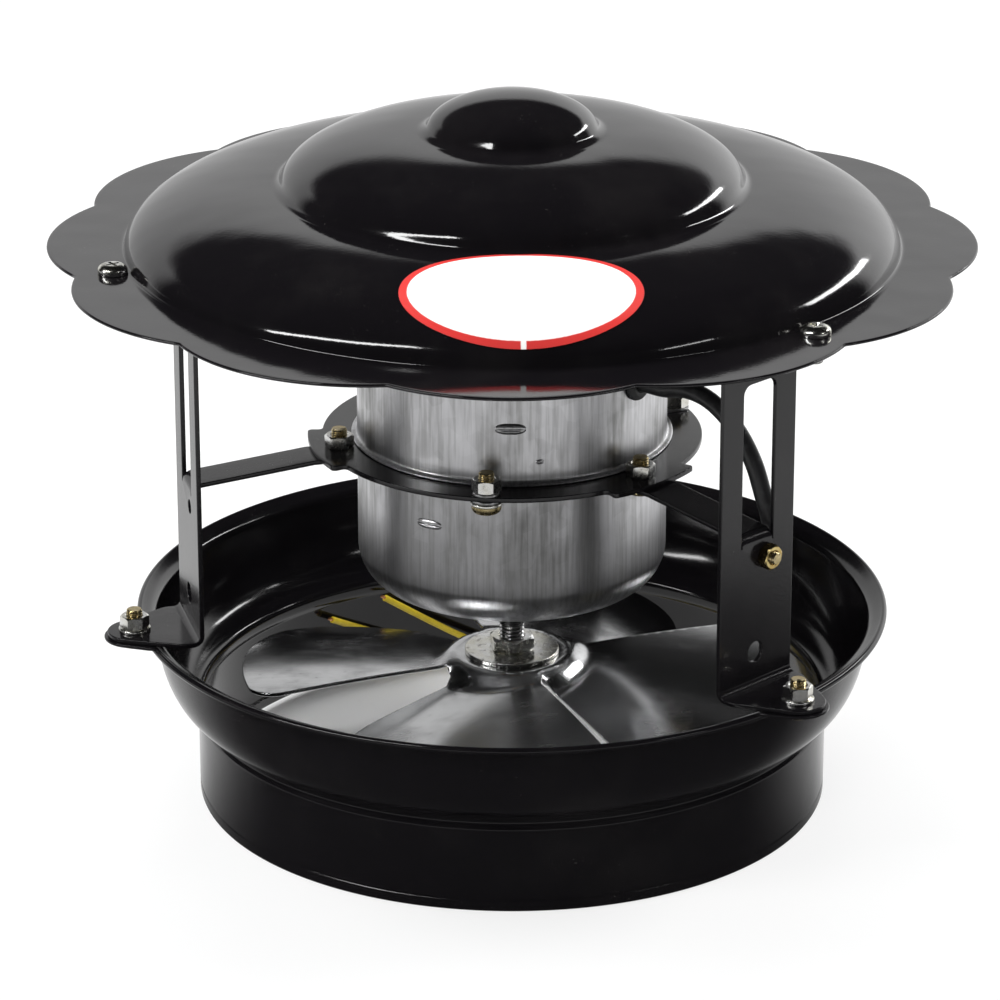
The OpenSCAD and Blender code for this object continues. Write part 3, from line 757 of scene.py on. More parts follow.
class Draft:
    """Line work in millimetres, as arrays of points."""

    @staticmethod
    def arc(
        centre: Sequence[float], a: float, b: float, start: float, end: float, steps: int
    ) -> np.ndarray:
        """Points of an elliptic arc.

        Args:
            centre: its centre.
            a: radius along the first axis.
            b: radius along the second axis.
            start: first angle in degrees.
            end: last angle in degrees.
            steps: number of steps.

        Returns:
            steps + 1 points.
        """
        t = np.radians(np.linspace(start, end, steps + 1))
        return np.stack([centre[0] + a * np.cos(t), centre[1] + b * np.sin(t)], 1)

    @staticmethod
    def resampled(line: np.ndarray, step: float) -> np.ndarray:
        """The open line with even steps of about the length asked for."""
        line = np.asarray(line, float)
        gaps = np.linalg.norm(np.diff(line, axis=0), axis=1)
        keep = np.concatenate([[True], gaps > 1e-9])
        line, gaps = line[keep], gaps[gaps > 1e-9]
        at = np.concatenate([[0.0], np.cumsum(gaps)])
        count = max(2, int(round(at[-1] / step)) + 1)
        s = np.linspace(0.0, at[-1], count)
        return np.stack([np.interp(s, at, line[:, k]) for k in range(line.shape[1])], 1)

    @staticmethod
    def softened(line: np.ndarray, reach: float, step: float = 0.25) -> np.ndarray:
        """Rounds every corner of an open line as pressing a sheet does, its ends kept.

        Args:
            line: the line.
            reach: the smoothing length.
            step: the spacing of the result.

        Returns:
            The smooth line.
        """
        line = Draft.resampled(line, step)
        half = int(math.ceil(3 * reach / step))
        weights = np.exp(-0.5 * (np.arange(-half, half + 1) * step / reach) ** 2)
        weights /= weights.sum()
        pad = min(half, len(line) - 1)
        head = 2 * line[0] - line[pad:0:-1]
        tail = 2 * line[-1] - line[-2 : -pad - 2 : -1]
        full = np.concatenate([head, line, tail])
        smooth = np.stack([np.convolve(full[:, k], weights, "same") for k in range(line.shape[1])], 1)
        result = smooth[len(head) : len(head) + len(line)]
        result[0], result[-1] = line[0], line[-1]
        return result

    @staticmethod
    def normals(line: np.ndarray) -> np.ndarray:
        """Unit normals to the left of an open line."""
        d = np.gradient(line, axis=0)
        d /= np.linalg.norm(d, axis=1)[:, None]
        return np.stack([-d[:, 1], d[:, 0]], 1)

    @staticmethod
    def thinned(line: np.ndarray, turn: float = 4.0, reach: float = 5.0) -> np.ndarray:
        """Keeps only the points that the line's bends need.

        Args:
            line: a dense open line.
            turn: largest change of direction between kept points, in degrees.
            reach: largest distance between kept points.

        Returns:
            The indices of the kept points.
        """
        d = np.diff(line, axis=0)
        heading = np.unwrap(np.arctan2(d[:, 1], d[:, 0]))
        length = np.concatenate([[0.0], np.cumsum(np.linalg.norm(d, axis=1))])
        bend = np.concatenate([[0.0], np.cumsum(np.abs(np.diff(heading, prepend=heading[0])))])
        kept = [0]
        for i in range(1, len(line) - 1):
            if np.degrees(bend[i] - bend[kept[-1]]) >= turn or length[i] - length[kept[-1]] >= reach:
                kept.append(i)
        return np.array([*kept, len(line) - 1])

    @staticmethod
    def filleted(corners: Sequence[Sequence[float]], radii: Sequence[float], steps: int = 6) -> np.ndarray:
        """A closed outline with rounded corners.

        Args:
            corners: the corner points in order.
            radii: one radius for each corner, 0 for a sharp one.
            steps: steps of each rounding.

        Returns:
            The outline's points.
        """
        p = [np.array(c, float) for c in corners]
        out: list[np.ndarray] = []
        for i, (b, r) in enumerate(zip(p, radii)):
            if r <= 0:
                out.append(b)
                continue
            u = p[i - 1] - b
            v = p[(i + 1) % len(p)] - b
            u /= np.linalg.norm(u)
            v /= np.linalg.norm(v)
            half = math.acos(float(np.clip(u @ v, -1, 1))) / 2
            o = b + (u + v) / np.linalg.norm(u + v) * (r / math.sin(half))
            s, e = b + u * (r / math.tan(half)) - o, b + v * (r / math.tan(half)) - o
            a0 = math.atan2(s[1], s[0])
            sweep = (math.atan2(e[1], e[0]) - a0 + 3 * math.pi) % (2 * math.pi) - math.pi
            for k in range(steps + 1):
                a = a0 + sweep * k / steps
                out.append(o + r * np.array([math.cos(a), math.sin(a)]))
        return np.array(out)

    @staticmethod
    def circle(x: float, y: float, r: float, steps: int = 28, squeeze: float = 1.0) -> np.ndarray:
        """A closed round outline, its first axis scaled by squeeze."""
        return Draft.arc((x, y), r * squeeze, r, 0, 360, steps)[:-1]

    @staticmethod
    def ear(
        root: float, shoulder: float, width: float, centre: float, end: float, steps: int = 18
    ) -> np.ndarray:
        """Half-straight, half-round plate outline along the first axis.

        Args:
            root: where the plate starts.
            shoulder: where its straight sides end.
            width: its half width.
            centre: centre of its round end.
            end: radius of its round end.
            steps: steps of the round end.

        Returns:
            The open outline from the root on one side to the root on the other.
        """
        d = np.array([shoulder - centre, width])
        a = math.degrees(math.atan2(d[1], d[0]) - math.acos(end / np.linalg.norm(d)))
        tip = Draft.arc((centre, 0.0), end, end, -a, a, steps)
        corners = [(root, -width), (shoulder, -width), *tip, (shoulder, width), (root, width)]
        radii = [0.0, 6.0] + [0.0] * len(tip) + [6.0, 0.0]
        return Draft.filleted(corners, radii)


class Piece:
    """Gathers the faces of one piece, in millimetres, and makes its Blender object."""

    def __init__(self, name: str) -> None:
        """Starts an empty piece.

        Args:
            name: the piece's name.
        """
        self.name = name
        self.points: list[np.ndarray] = []
        self.faces: list[tuple[int, ...]] = []
        self.count = 0

    def add(self, points: np.ndarray, faces: Iterable[Sequence[int]]) -> None:
        """Adds points and the faces between them."""
        self.points.append(np.asarray(points, float).reshape(-1, 3))
        self.faces.extend(tuple(int(i) + self.count for i in f) for f in faces)
        self.count += len(self.points[-1])

    def grid(self, points: np.ndarray, wrap_rows: bool = False, wrap_columns: bool = False) -> None:
        """Adds a sheet of quads.

        Args:
            points: rows x columns x 3.
            wrap_rows: joins the last row to the first.
            wrap_columns: joins the last column to the first.
        """
        m, n = points.shape[:2]
        rows = range(m if wrap_rows else m - 1)
        columns = range(n if wrap_columns else n - 1)
        self.add(
            points,
            (
                (i * n + j, ((i + 1) % m) * n + j, ((i + 1) % m) * n + (j + 1) % n, i * n + (j + 1) % n)
                for i in rows
                for j in columns
            ),
        )

    def turned(self, section: np.ndarray, sides: int, closed: bool = True) -> None:
        """Spins a section about Z.

        Args:
            section: points (radius, height).
            sides: number of steps round.
            closed: whether the section is a loop; an open one ends on the axis.
        """
        t = np.linspace(0, 2 * np.pi, sides, endpoint=False)
        r, z = section[:, 0][:, None], section[:, 1][:, None]
        points = np.stack([r * np.cos(t), r * np.sin(t), np.broadcast_to(z, (len(section), sides))], 2)
        self.grid(points, wrap_rows=closed, wrap_columns=True)

    def move(self, matrix: Matrix) -> Piece:
        """Moves all points by a matrix in millimetres."""
        m = np.array(matrix)
        self.points = [p @ m[:3, :3].T + m[:3, 3] for p in self.points]
        return self

    def make(
        self, material: bpy.types.Material, weld: float = 0.0004, sharp: float | None = None
    ) -> bpy.types.Object:
        """Makes the object.

        Args:
            material: its material.
            weld: distance in millimetres under which points join.
            sharp: angle in degrees above which an edge is sharp; none for weighted normals.

        Returns:
            The object, at the origin, its place in its mesh.
        """
        mesh = bpy.data.meshes.new(self.name)
        mesh.from_pydata((np.concatenate(self.points) * MM).tolist(), [], self.faces)
        work = bmesh.new()
        work.from_mesh(mesh)
        bmesh.ops.remove_doubles(work, verts=work.verts, dist=weld * MM)
        bmesh.ops.dissolve_degenerate(work, edges=work.edges, dist=weld * MM * 0.5)
        bmesh.ops.recalc_face_normals(work, faces=work.faces)
        work.to_mesh(mesh)
        work.free()
        mesh.polygons.foreach_set("use_smooth", [True] * len(mesh.polygons))
        mesh.materials.append(material)
        obj = bpy.data.objects.new(self.name, mesh)
        bpy.context.scene.collection.objects.link(obj)
        if sharp is not None:
            mesh.set_sharp_from_angle(angle=math.radians(sharp))
        else:
            weights = obj.modifiers.new("even_faces", "WEIGHTED_NORMAL")
            weights.weight = 80
            weights.keep_sharp = True
            Bake.apply(obj)
        return obj


class Bake:
    """Turns modifiers into plain meshes."""

    @staticmethod
    def apply(obj: bpy.types.Object) -> bpy.types.Object:
        """Bakes every modifier of an object.

        Args:
            obj: the object, which keeps its name.

        Returns:
            The same object with a plain mesh and no modifier.
        """
        bpy.context.view_layer.update()
        graph = bpy.context.evaluated_depsgraph_get()
        baked = bpy.data.meshes.new_from_object(obj.evaluated_get(graph), depsgraph=graph)
        obj.modifiers.clear()
        old = obj.data
        obj.data = baked
        if isinstance(old, bpy.types.Mesh):
            baked.name = old.name
            bpy.data.meshes.remove(old)
        return obj

    @staticmethod
    def cut(obj: bpy.types.Object, tool: bpy.types.Object, join: bool = False) -> bpy.types.Object:
        """Cuts or joins one solid with another, which is then removed.

        Args:
            obj: the solid that stays.
            tool: the solid that is used up.
            join: whether the two are joined in place of cut.

        Returns:
            The changed solid.
        """
        change = obj.modifiers.new("cut", "BOOLEAN")
        change.operation = "UNION" if join else "DIFFERENCE"
        change.solver = "EXACT"
        change.object = tool
        Bake.apply(obj)
        bpy.data.objects.remove(tool)
        return obj

    @staticmethod
    def joined(first: bpy.types.Object, *others: bpy.types.Object) -> bpy.types.Object:
        """Joins the meshes of several objects into the first one.

        Args:
            first: the object that stays.
            others: the objects whose meshes move into it.

        Returns:
            The first object.
        """
        with bpy.context.temp_override(
            active_object=first, selected_editable_objects=[first, *others], object=first
        ):
            bpy.ops.object.join()
        return first


@dataclass
class BentSheet:
    """A flat blank with holes, rounded at its cut edges, laid over any surface."""

    outline: np.ndarray
    thickness: float
    edge: float = 0.28
    holes: list[np.ndarray] = field(default_factory=list)
    rows: list[tuple[float, float, float]] = field(default_factory=list)
    fill: float = 0.0
    steps: int = 3

    @staticmethod
    def _inset(loop: np.ndarray, distance: float) -> np.ndarray:
        """The closed loop moved to its left by a distance, with mitred corners."""
        before = loop - np.roll(loop, 1, axis=0)
        after = np.roll(loop, -1, axis=0) - loop
        before /= np.linalg.norm(before, axis=1)[:, None]
        after /= np.linalg.norm(after, axis=1)[:, None]
        a = np.stack([-before[:, 1], before[:, 0]], 1)
        b = np.stack([-after[:, 1], after[:, 0]], 1)
        m = a + b
        return loop + distance * 2 * m / np.maximum((m * m).sum(1), 0.4)[:, None]

    @staticmethod
    def _area(loop: np.ndarray) -> float:
        """Signed area of a closed loop."""
        x, y = loop[:, 0], loop[:, 1]
        return float(0.5 * (x * np.roll(y, -1) - np.roll(x, -1) * y).sum())

    @staticmethod
    def _inside(points: np.ndarray, loop: np.ndarray) -> np.ndarray:
        """Which points lie inside a closed loop."""
        x, y = points[:, 0][:, None], points[:, 1][:, None]
        a, b = loop, np.roll(loop, -1, axis=0)
        crosses = (a[:, 1] > y) != (b[:, 1] > y)
        with np.errstate(divide="ignore", invalid="ignore"):
            at = a[:, 0] + (y - a[:, 1]) * (b[:, 0] - a[:, 0]) / (b[:, 1] - a[:, 1])
        return (crosses & (x < at)).sum(1) % 2 == 1

    def _split(self, loop: np.ndarray) -> np.ndarray:
        """Adds a point wherever the loop crosses a fold row."""
        out: list[np.ndarray] = []
        for a, b in zip(loop, np.roll(loop, -1, axis=0)):
            out.append(a)
            cuts = []
            for u, low, high in self.rows:
                if (a[0] - u) * (b[0] - u) < -1e-9:
                    f = (u - a[0]) / (b[0] - a[0])
                    v = a[1] + f * (b[1] - a[1])
                    if low - 0.6 <= v <= high + 0.6:
                        cuts.append((f, np.array([u, v])))
            out.extend(p for _, p in sorted(cuts, key=lambda c: c[0]))
        return np.array(out)

    def lay(self, piece: Piece, surface: Setter) -> None:
        """Lays the blank over a surface and adds it to a piece.

        Args:
            piece: the piece that takes the faces.
            surface: turns arrays of u, v and height above the lower face into points.
        """
        loops = [self._split(self.outline if self._area(self.outline) > 0 else self.outline[::-1])]
        loops += [self._split(h if self._area(h) < 0 else h[::-1]) for h in self.holes]
        inner = [self._inset(loop, self.edge) for loop in loops]
        flat = np.concatenate(inner)
        edges: list[tuple[int, int]] = []
        start = 0
        for loop in inner:
            n = len(loop)
            edges += [(start + i, start + (i + 1) % n) for i in range(n)]
            start += n
        points = [tuple(p) for p in flat]
        for u, low, high in self.rows:
            ends = [
                i for i, p in enumerate(flat) if abs(p[0] - u) < 1e-6 and low - 0.6 <= p[1] <= high + 0.6
            ]
            ends.sort(key=lambda i: flat[i][1])
            if len(ends) < 2:
                continue
            a, b = ends[0], ends[-1]
            count = max(1, int((flat[b][1] - flat[a][1]) / 3.0))
            chain = [a]
            for k in range(1, count):
                points.append((u, flat[a][1] + (flat[b][1] - flat[a][1]) * k / count))
                chain.append(len(points) - 1)
            chain.append(b)
            edges += list(zip(chain[:-1], chain[1:]))
        if self.fill > 0:
            low, high = flat.min(0), flat.max(0)
            gu, gv = np.meshgrid(
                np.arange(low[0] + self.fill / 2, high[0], self.fill),
                np.arange(low[1] + self.fill / 2, high[1], self.fill),
            )
            gu = gu + (np.arange(gu.shape[0])[:, None] % 2) * self.fill / 2
            cloud = np.stack([gu.ravel(), gv.ravel()], 1)
            good = self._inside(cloud, inner[0])
            for hole in inner[1:]:
                good &= ~self._inside(cloud, hole)
            cloud = cloud[good]
            near = np.array([np.min(np.linalg.norm(flat - c, axis=1)) for c in cloud])
            points += [tuple(c) for c in cloud[near > self.fill * 0.45]]
        made, _, triangles, *_ = delaunay_2d_cdt([Vector(p) for p in points], edges, [], 0, 1e-5)
        made = np.array([tuple(p) for p in made])
        centres = np.array([made[list(t)].mean(0) for t in triangles])
        good = self._inside(centres, inner[0])
        for hole in inner[1:]:
            good &= ~self._inside(centres, hole)
        kept = [t for t, g in zip(triangles, good) if g]
        t = self.thickness
        piece.add(surface(made[:, 0], made[:, 1], np.full(len(made), t)), kept)
        piece.add(surface(made[:, 0], made[:, 1], np.zeros(len(made))), [f[::-1] for f in kept])
        angles = np.linspace(0, np.pi / 2, self.steps + 1)
        turn = [(self.edge * (1 - math.sin(a)), self.edge * (1 - math.cos(a))) for a in angles]
        ring = turn + [(d, t - h) for d, h in turn[::-1]]
        for loop in loops:
            rows = []
            for distance, height in ring:
                p = self._inset(loop, distance) if distance > 1e-9 else loop
                rows.append(surface(p[:, 0], p[:, 1], np.full(len(p), height)))
            piece.grid(np.stack(rows), wrap_columns=True)


def flat_at(level: float) -> Setter:
    """A surface that leaves a blank flat at a height.

    Args:
        level: height of the blank's lower face.

    Returns:
        The surface.
    """
    return lambda u, v, h: np.stack([u, v, h + level], 1)


# Node trees that repeat and sweep


class Trees:
    """Geometry node trees, built once and used by every piece that repeats or follows a line."""

    def __init__(self) -> None:
        """Builds the trees."""
        self.round_axis = self._round_axis()
        self.along_line = self._along_line()

    @staticmethod
    def _start(name: str, inputs: Sequence[tuple[str, str, float]]) -> tuple[bpy.types.NodeTree, Callable]:
        """Opens a tree with named inputs.

        Args:
            name: the tree's name.
            inputs: name, socket type and default of each input.

        Returns:
            The tree and a function that adds a node and links its inputs.
        """
        tree = bpy.data.node_groups.new(name, "GeometryNodeTree")
        tree.interface.new_socket("Geometry", in_out="INPUT", socket_type="NodeSocketGeometry")
        for label, kind, value in inputs:
            socket = tree.interface.new_socket(label, in_out="INPUT", socket_type=kind)
            if kind != "NodeSocketMaterial":
                socket.default_value = value
        tree.interface.new_socket("Geometry", in_out="OUTPUT", socket_type="NodeSocketGeometry")

        def add(kind: str, settings: dict | None = None, **links: object) -> bpy.types.Node:
            """Adds a node; a link's name is its socket's, with underscores for spaces."""
            node = tree.nodes.new(kind)
            for key, value in (settings or {}).items():
                setattr(node, key, value)
            for key, value in links.items():
                socket = node.inputs[int(key[1:])] if key[0] == "i" and key[1:].isdigit() else node.inputs[
                    key.replace("_", " ")
                ]
                if isinstance(value, bpy.types.NodeSocket):
                    tree.links.new(value, socket)
                else:
                    socket.default_value = value
            return node

        return tree, add

    @staticmethod
    def _round_axis() -> bpy.types.NodeTree:
        """Repeats a piece round the Z axis at even turns."""
        tree, add = Trees._start(
            "repeat_round_axis",
            [
                ("Count", "NodeSocketInt", 3),
                ("Radius", "NodeSocketFloat", 0.1),
                ("Height", "NodeSocketFloat", 0.0),
                ("First Turn", "NodeSocketFloat", 0.0),
                ("Step", "NodeSocketFloat", 2.0944),
                ("Finish", "NodeSocketMaterial", 0.0),
            ],
        )
        given = add("NodeGroupInput").outputs
        index = add("GeometryNodeInputIndex").outputs[0]
        turn = add(
            "ShaderNodeMath",
            {"operation": "MULTIPLY_ADD"},
            i0=index,
            i1=given["Step"],
            i2=given["First Turn"],
        ).outputs[0]
        cos = add("ShaderNodeMath", {"operation": "COSINE"}, i0=turn).outputs[0]
        sin = add("ShaderNodeMath", {"operation": "SINE"}, i0=turn).outputs[0]
        x = add("ShaderNodeMath", {"operation": "MULTIPLY"}, i0=cos, i1=given["Radius"]).outputs[0]
        y = add("ShaderNodeMath", {"operation": "MULTIPLY"}, i0=sin, i1=given["Radius"]).outputs[0]
        place = add("ShaderNodeCombineXYZ", X=x, Y=y, Z=given["Height"]).outputs[0]
        spin = add("ShaderNodeCombineXYZ", Z=turn).outputs[0]
        spots = add("GeometryNodePoints", Count=given["Count"], Position=place).outputs[0]
        copies = add(
            "GeometryNodeInstanceOnPoints", Points=spots, Instance=given["Geometry"], Rotation=spin
        ).outputs[0]
        real = add("GeometryNodeRealizeInstances", Geometry=copies).outputs[0]
        done = add("GeometryNodeSetMaterial", Geometry=real, Material=given["Finish"]).outputs[0]
        add("NodeGroupOutput", Geometry=done)
        return tree

    @staticmethod
    def _along_line() -> bpy.types.NodeTree:
        """Sweeps a round section along a line of edges."""
        tree, add = Trees._start(
            "sweep_round_section",
            [
                ("Radius", "NodeSocketFloat", 0.002),
                ("Sides", "NodeSocketInt", 20),
                ("Finish", "NodeSocketMaterial", 0.0),
            ],
        )
        given = add("NodeGroupInput").outputs
        line = add("GeometryNodeMeshToCurve", Mesh=given["Geometry"]).outputs[0]
        circle = add("GeometryNodeCurvePrimitiveCircle", Resolution=given["Sides"], Radius=given["Radius"])
        ring = circle.outputs[0]
        tube = add(
            "GeometryNodeCurveToMesh", Curve=line, Profile_Curve=ring, Fill_Caps=True
        ).outputs[0]
        smooth = add("GeometryNodeSetShadeSmooth", Geometry=tube, Shade_Smooth=True).outputs[0]
        real = add("GeometryNodeRealizeInstances", Geometry=smooth).outputs[0]
        done = add("GeometryNodeSetMaterial", Geometry=real, Material=given["Finish"]).outputs[0]
        add("NodeGroupOutput", Geometry=done)
        return tree

    @staticmethod
    def run(obj: bpy.types.Object, tree: bpy.types.NodeTree, values: dict) -> bpy.types.Object:
        """Runs a tree on an object and bakes the result.

        Args:
            obj: the object.
            tree: the node tree.
            values: the inputs by name.

        Returns:
            The object with a plain mesh.
        """
        modifier = obj.modifiers.new(tree.name, "NODES")
        modifier.node_group = tree
        for item in tree.interface.items_tree:
            if item.item_type == "SOCKET" and item.in_out == "INPUT" and item.name in values:
                modifier[item.identifier] = values[item.name]
        return Bake.apply(obj)

    def repeated(
        self, obj: bpy.types.Object, count: int, radius: float, height: float, first: float, step: float
    ) -> bpy.types.Object:
        """Repeats an object round the Z axis.

        Args:
            obj: the object, whose own origin goes to each place.
            count: number of copies.
            radius: radius of the places, in millimetres.
            height: height of the places, in millimetres.
            first: direction of the first one, in degrees.
            step: turn between them, in degrees.

        Returns:
            The object with all copies in its mesh.
        """
        return self.run(
            obj,
            self.round_axis,
            {
                "Count": count,
                "Radius": radius * MM,
                "Height": height * MM,
                "First Turn": math.radians(first),
                "Step": math.radians(step),
                "Finish": obj.data.materials[0],
            },
        )

    def swept(
        self, name: str, line: np.ndarray, radius: float, material: bpy.types.Material, sides: int = 20
    ) -> bpy.types.Object:
        """A round cord along a line.

        Args:
            name: the piece's name.
            line: its centre line, in millimetres.
            radius: its radius, in millimetres.
            material: its material.
            sides: sides of its section.

        Returns:
            The cord as a plain mesh.
        """
        mesh = bpy.data.meshes.new(name)
        mesh.from_pydata((line * MM).tolist(), [(i, i + 1) for i in range(len(line) - 1)], [])
        obj = bpy.data.objects.new(name, mesh)
        bpy.context.scene.collection.objects.link(obj)
        mesh.materials.append(material)
        return self.run(
            obj, self.along_line, {"Radius": radius * MM, "Sides": sides, "Finish": material}
        )


class Seat:
    """Puts finished pieces on their bodies in place of the nodes they stand for."""

    @staticmethod
    def piece(obj: bpy.types.Object, body: Body, slot: Slot, *nodes: str) -> bpy.types.Object:
        """Seats a finished piece.

        Args:
            obj: the piece.
            body: the body it rides on.
            slot: not used.
            nodes: the nodes that it stands for.

        Returns:
            The piece.
        """
        if nodes:
            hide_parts(*nodes)
        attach(obj, body.value)
        log.info("%s: %d faces", obj.name, len(obj.data.polygons))
        return obj

    @staticmethod
    def dressed(frame: dict, node: str, material: bpy.types.Material) -> None:
        """Gives a node that keeps its own shape its finish."""
        mesh = frame["nodes"][node].data
        mesh.materials.clear()
        mesh.materials.append(material)
        log.info("%s: dressed with %s", node, material.name)


@dataclass
class Bowl:
    """Spun bowl with its collar, neck groove, rolled lip and three ears, in millimetres."""

    finishes: Finishes
    trees: Trees
    collar: float = 100.0
    neck: float = 27.5
    groove: float = 5.0
    wall: float = 113.0
    wall_top: float = 58.0
    bead: float = 1.1
    bead_at: tuple[float, float] = (117.6, 61.1)
    rim: float = 62.5
    sheet: float = 1.0
    bolt: float = 121.5

    def _body_line(self) -> np.ndarray:
        """Outer line from the collar to the lip, corners softened."""
        arc = Draft.arc(
            (self.collar + 0.5, self.wall_top),
            self.wall - self.collar - 0.5,
            self.wall_top - self.neck - self.groove,
            -90,
            0,
            40,
        )
        raw = np.concatenate(
            [
                [(self.collar, 8.0), (self.collar, self.neck), (self.collar - 1, self.neck + 1.2)],
                [(self.collar - 1, self.neck + self.groove - 1)],
                arc,
                [(self.wall + 0.5, self.wall_top + 1.0), (self.wall + 1.6, self.wall_top + 1.9)],
                [(116.58, 60.69)],
            ]
        )
        return Draft.softened(raw, 0.75)

    def section(self) -> np.ndarray:
        """The closed section of the bowl's wall.

        Returns:
            Points (radius, height).
        """
        body = self._body_line()
        inner = body + Draft.normals(body) * self.sheet
        kept = Draft.thinned(body, 4.0, 4.0)
        hem = Draft.softened(
            np.array([(100.0, 1.0), (100.0, 3.35), (99.72, 3.6), (99.72, 4.0), (100.0, 4.25), (100.0, 8.0)]),
            0.12,
            0.1,
        )
        hem = hem[Draft.thinned(hem, 10.0, 1.5)]
        fold = Draft.arc((99.0, 1.0), 1.0, 1.0, 180, 360, 12)
        bead = Draft.arc(self.bead_at, self.bead, self.bead, -158.2, 136.4, 22)
        top = Draft.arc((98.3, 3.2), 0.3, 0.3, 90, 180, 4)
        loop = np.concatenate(
            [
                fold[:-1],
                hem[:-1],
                body[kept][:-1],
                bead,
                inner[kept][::-1][1:],
                [(99.0, 3.55)],
                top,
                [(98.0, 2.0)],
            ]
        )
        return loop

    def make(self) -> bpy.types.Object:
        """Builds, cuts and dresses the bowl.

        Returns:
            The bowl.
        """
        spun = Piece("spun_bowl")
        spun.turned(self.section(), 240)
        bowl = spun.make(self.finishes.bowl_enamel)
        relief = Piece("head_relief")
        relief.turned(np.array([(0.0, 52.0), (4.9, 52.0), (4.9, 61.7), (0.0, 61.7)]), 32, closed=False)
        single = relief.make(self.finishes.bowl_enamel, sharp=30)
        cutter = self.trees.repeated(single, 3, self.bolt, 0.0, -45.0, 120.0)
        Bake.cut(bowl, cutter)
        ear = Piece("rim_ear")
        blank = BentSheet(
            Draft.ear(114.4 - self.bolt, 118.6 - self.bolt, 13.0, 0.0, 9.5),
            self.sheet,
            0.3,
            [Draft.circle(0.0, 0.0, 2.75)],
            fill=1.6,
        )

        def sunk(u: np.ndarray, v: np.ndarray, h: np.ndarray) -> np.ndarray:
            """The ear's face, which dips into the lip at its root."""
            f = np.clip((-3.2 - u) / 4.0, 0.0, 1.0)
            return np.stack([u, v, h + self.rim - self.sheet - 1.25 * f * f * (3 - 2 * f)], 1)

        blank.lay(ear, sunk)
        ears = self.trees.repeated(ear.make(self.finishes.bowl_enamel), 3, self.bolt, 0.0, -45.0, 120.0)
        Bake.joined(bowl, ears)
        return Seat.piece(bowl, Body.FRAME, Slot.BLACK_PAINT, "bowl")


@dataclass
class Cap:
    """Pressed cap: knob, two domes and a flange of twelve petals, in millimetres."""

    finishes: Finishes
    top: float = 181.0
    sheet: float = 1.0
    tip: float = 143.5
    petal: float = 60.0
    petals: int = 12
    foot: float = 119.5
    step: float = 72.0
    outer_rise: float = 19.0
    inner_rise: float = 16.5
    knob: float = 26.5
    knob_rise: float = 11.5
    sides: int = 360

    def petal_edge(self, angle: float) -> float:
        """Radius of the scalloped edge.

        Args:
            angle: direction in degrees.

        Returns:
            The radius.
        """
        each = 360.0 / self.petals
        d = angle % each
        s = math.radians(min(d, each - d))
        c = self.tip - self.petal
        return c * math.cos(s) + math.sqrt(self.petal**2 - (c * math.sin(s)) ** 2)

    def dome_height(self, radius: float) -> float:
        """Height of the outer dome's face at a radius."""
        x = (radius - self.step) / (self.foot - self.step)
        return self.top + self.outer_rise * math.sqrt(max(0.0, 1 - x * x))

    def line(self) -> np.ndarray:
        """Upper line from the axis to the flange, corners softened.

        Returns:
            Points (radius, height).
        """
        step_z = self.top + self.outer_rise
        knob_z = step_z + self.inner_rise
        raw = np.concatenate(
            [
                Draft.arc((0.0, knob_z), self.knob, self.knob_rise, 90, 6, 50),
                Draft.arc(
                    (self.knob + 0.6, step_z), self.step - self.knob - 1.2, self.inner_rise, 88, 5, 60
                ),
                Draft.arc((self.step, self.top), self.foot - self.step, self.outer_rise, 89, 0, 70),
                [(self.foot + 4.0, self.top), (self.foot + 8.0, self.top)],
            ]
        )
        line = Draft.softened(raw, 0.85)
        line[0] = (0.0, line[1][1])
        return line

    def make(self) -> bpy.types.Object:
        """Builds and dresses the cap.

        Returns:
            The cap.
        """
        line = self.line()
        under = line - Draft.normals(line) * self.sheet
        under[0][0] = 0.0
        kept = Draft.thinned(line, 3.2, 4.0)
        upper, lower = line[kept], under[kept]
        reach = upper[-1][0]
        e = self.sheet / 2
        shares = [0.25, 0.5, 0.75, 0.92, 1.0]
        t = np.radians(np.arange(self.sides) * 360.0 / self.sides)
        edge = np.array([self.petal_edge(a) for a in np.degrees(t)])
        ring = [(np.full(self.sides, r), z) for r, z in upper]
        ring += [(reach + f * (edge - e - reach), self.top) for f in shares]
        for a in (60, 30, 0, -30, -60):
            lean = math.radians(a)
            ring.append((edge - e + e * math.cos(lean), self.top - e + e * math.sin(lean)))
        ring += [(reach + f * (edge - e - reach), self.top - self.sheet) for f in shares[::-1]]
        ring += [(np.full(self.sides, r), z) for r, z in lower[::-1]]
        points = np.stack([np.stack([r * np.cos(t), r * np.sin(t), np.full(self.sides, z)], 1) for r, z in ring])
        pressed = Piece("pressed_cap")
        pressed.grid(points, wrap_columns=True)
        return Seat.piece(pressed.make(self.finishes.cap_enamel), Body.FRAME, Slot.BLACK_PAINT, "cap")


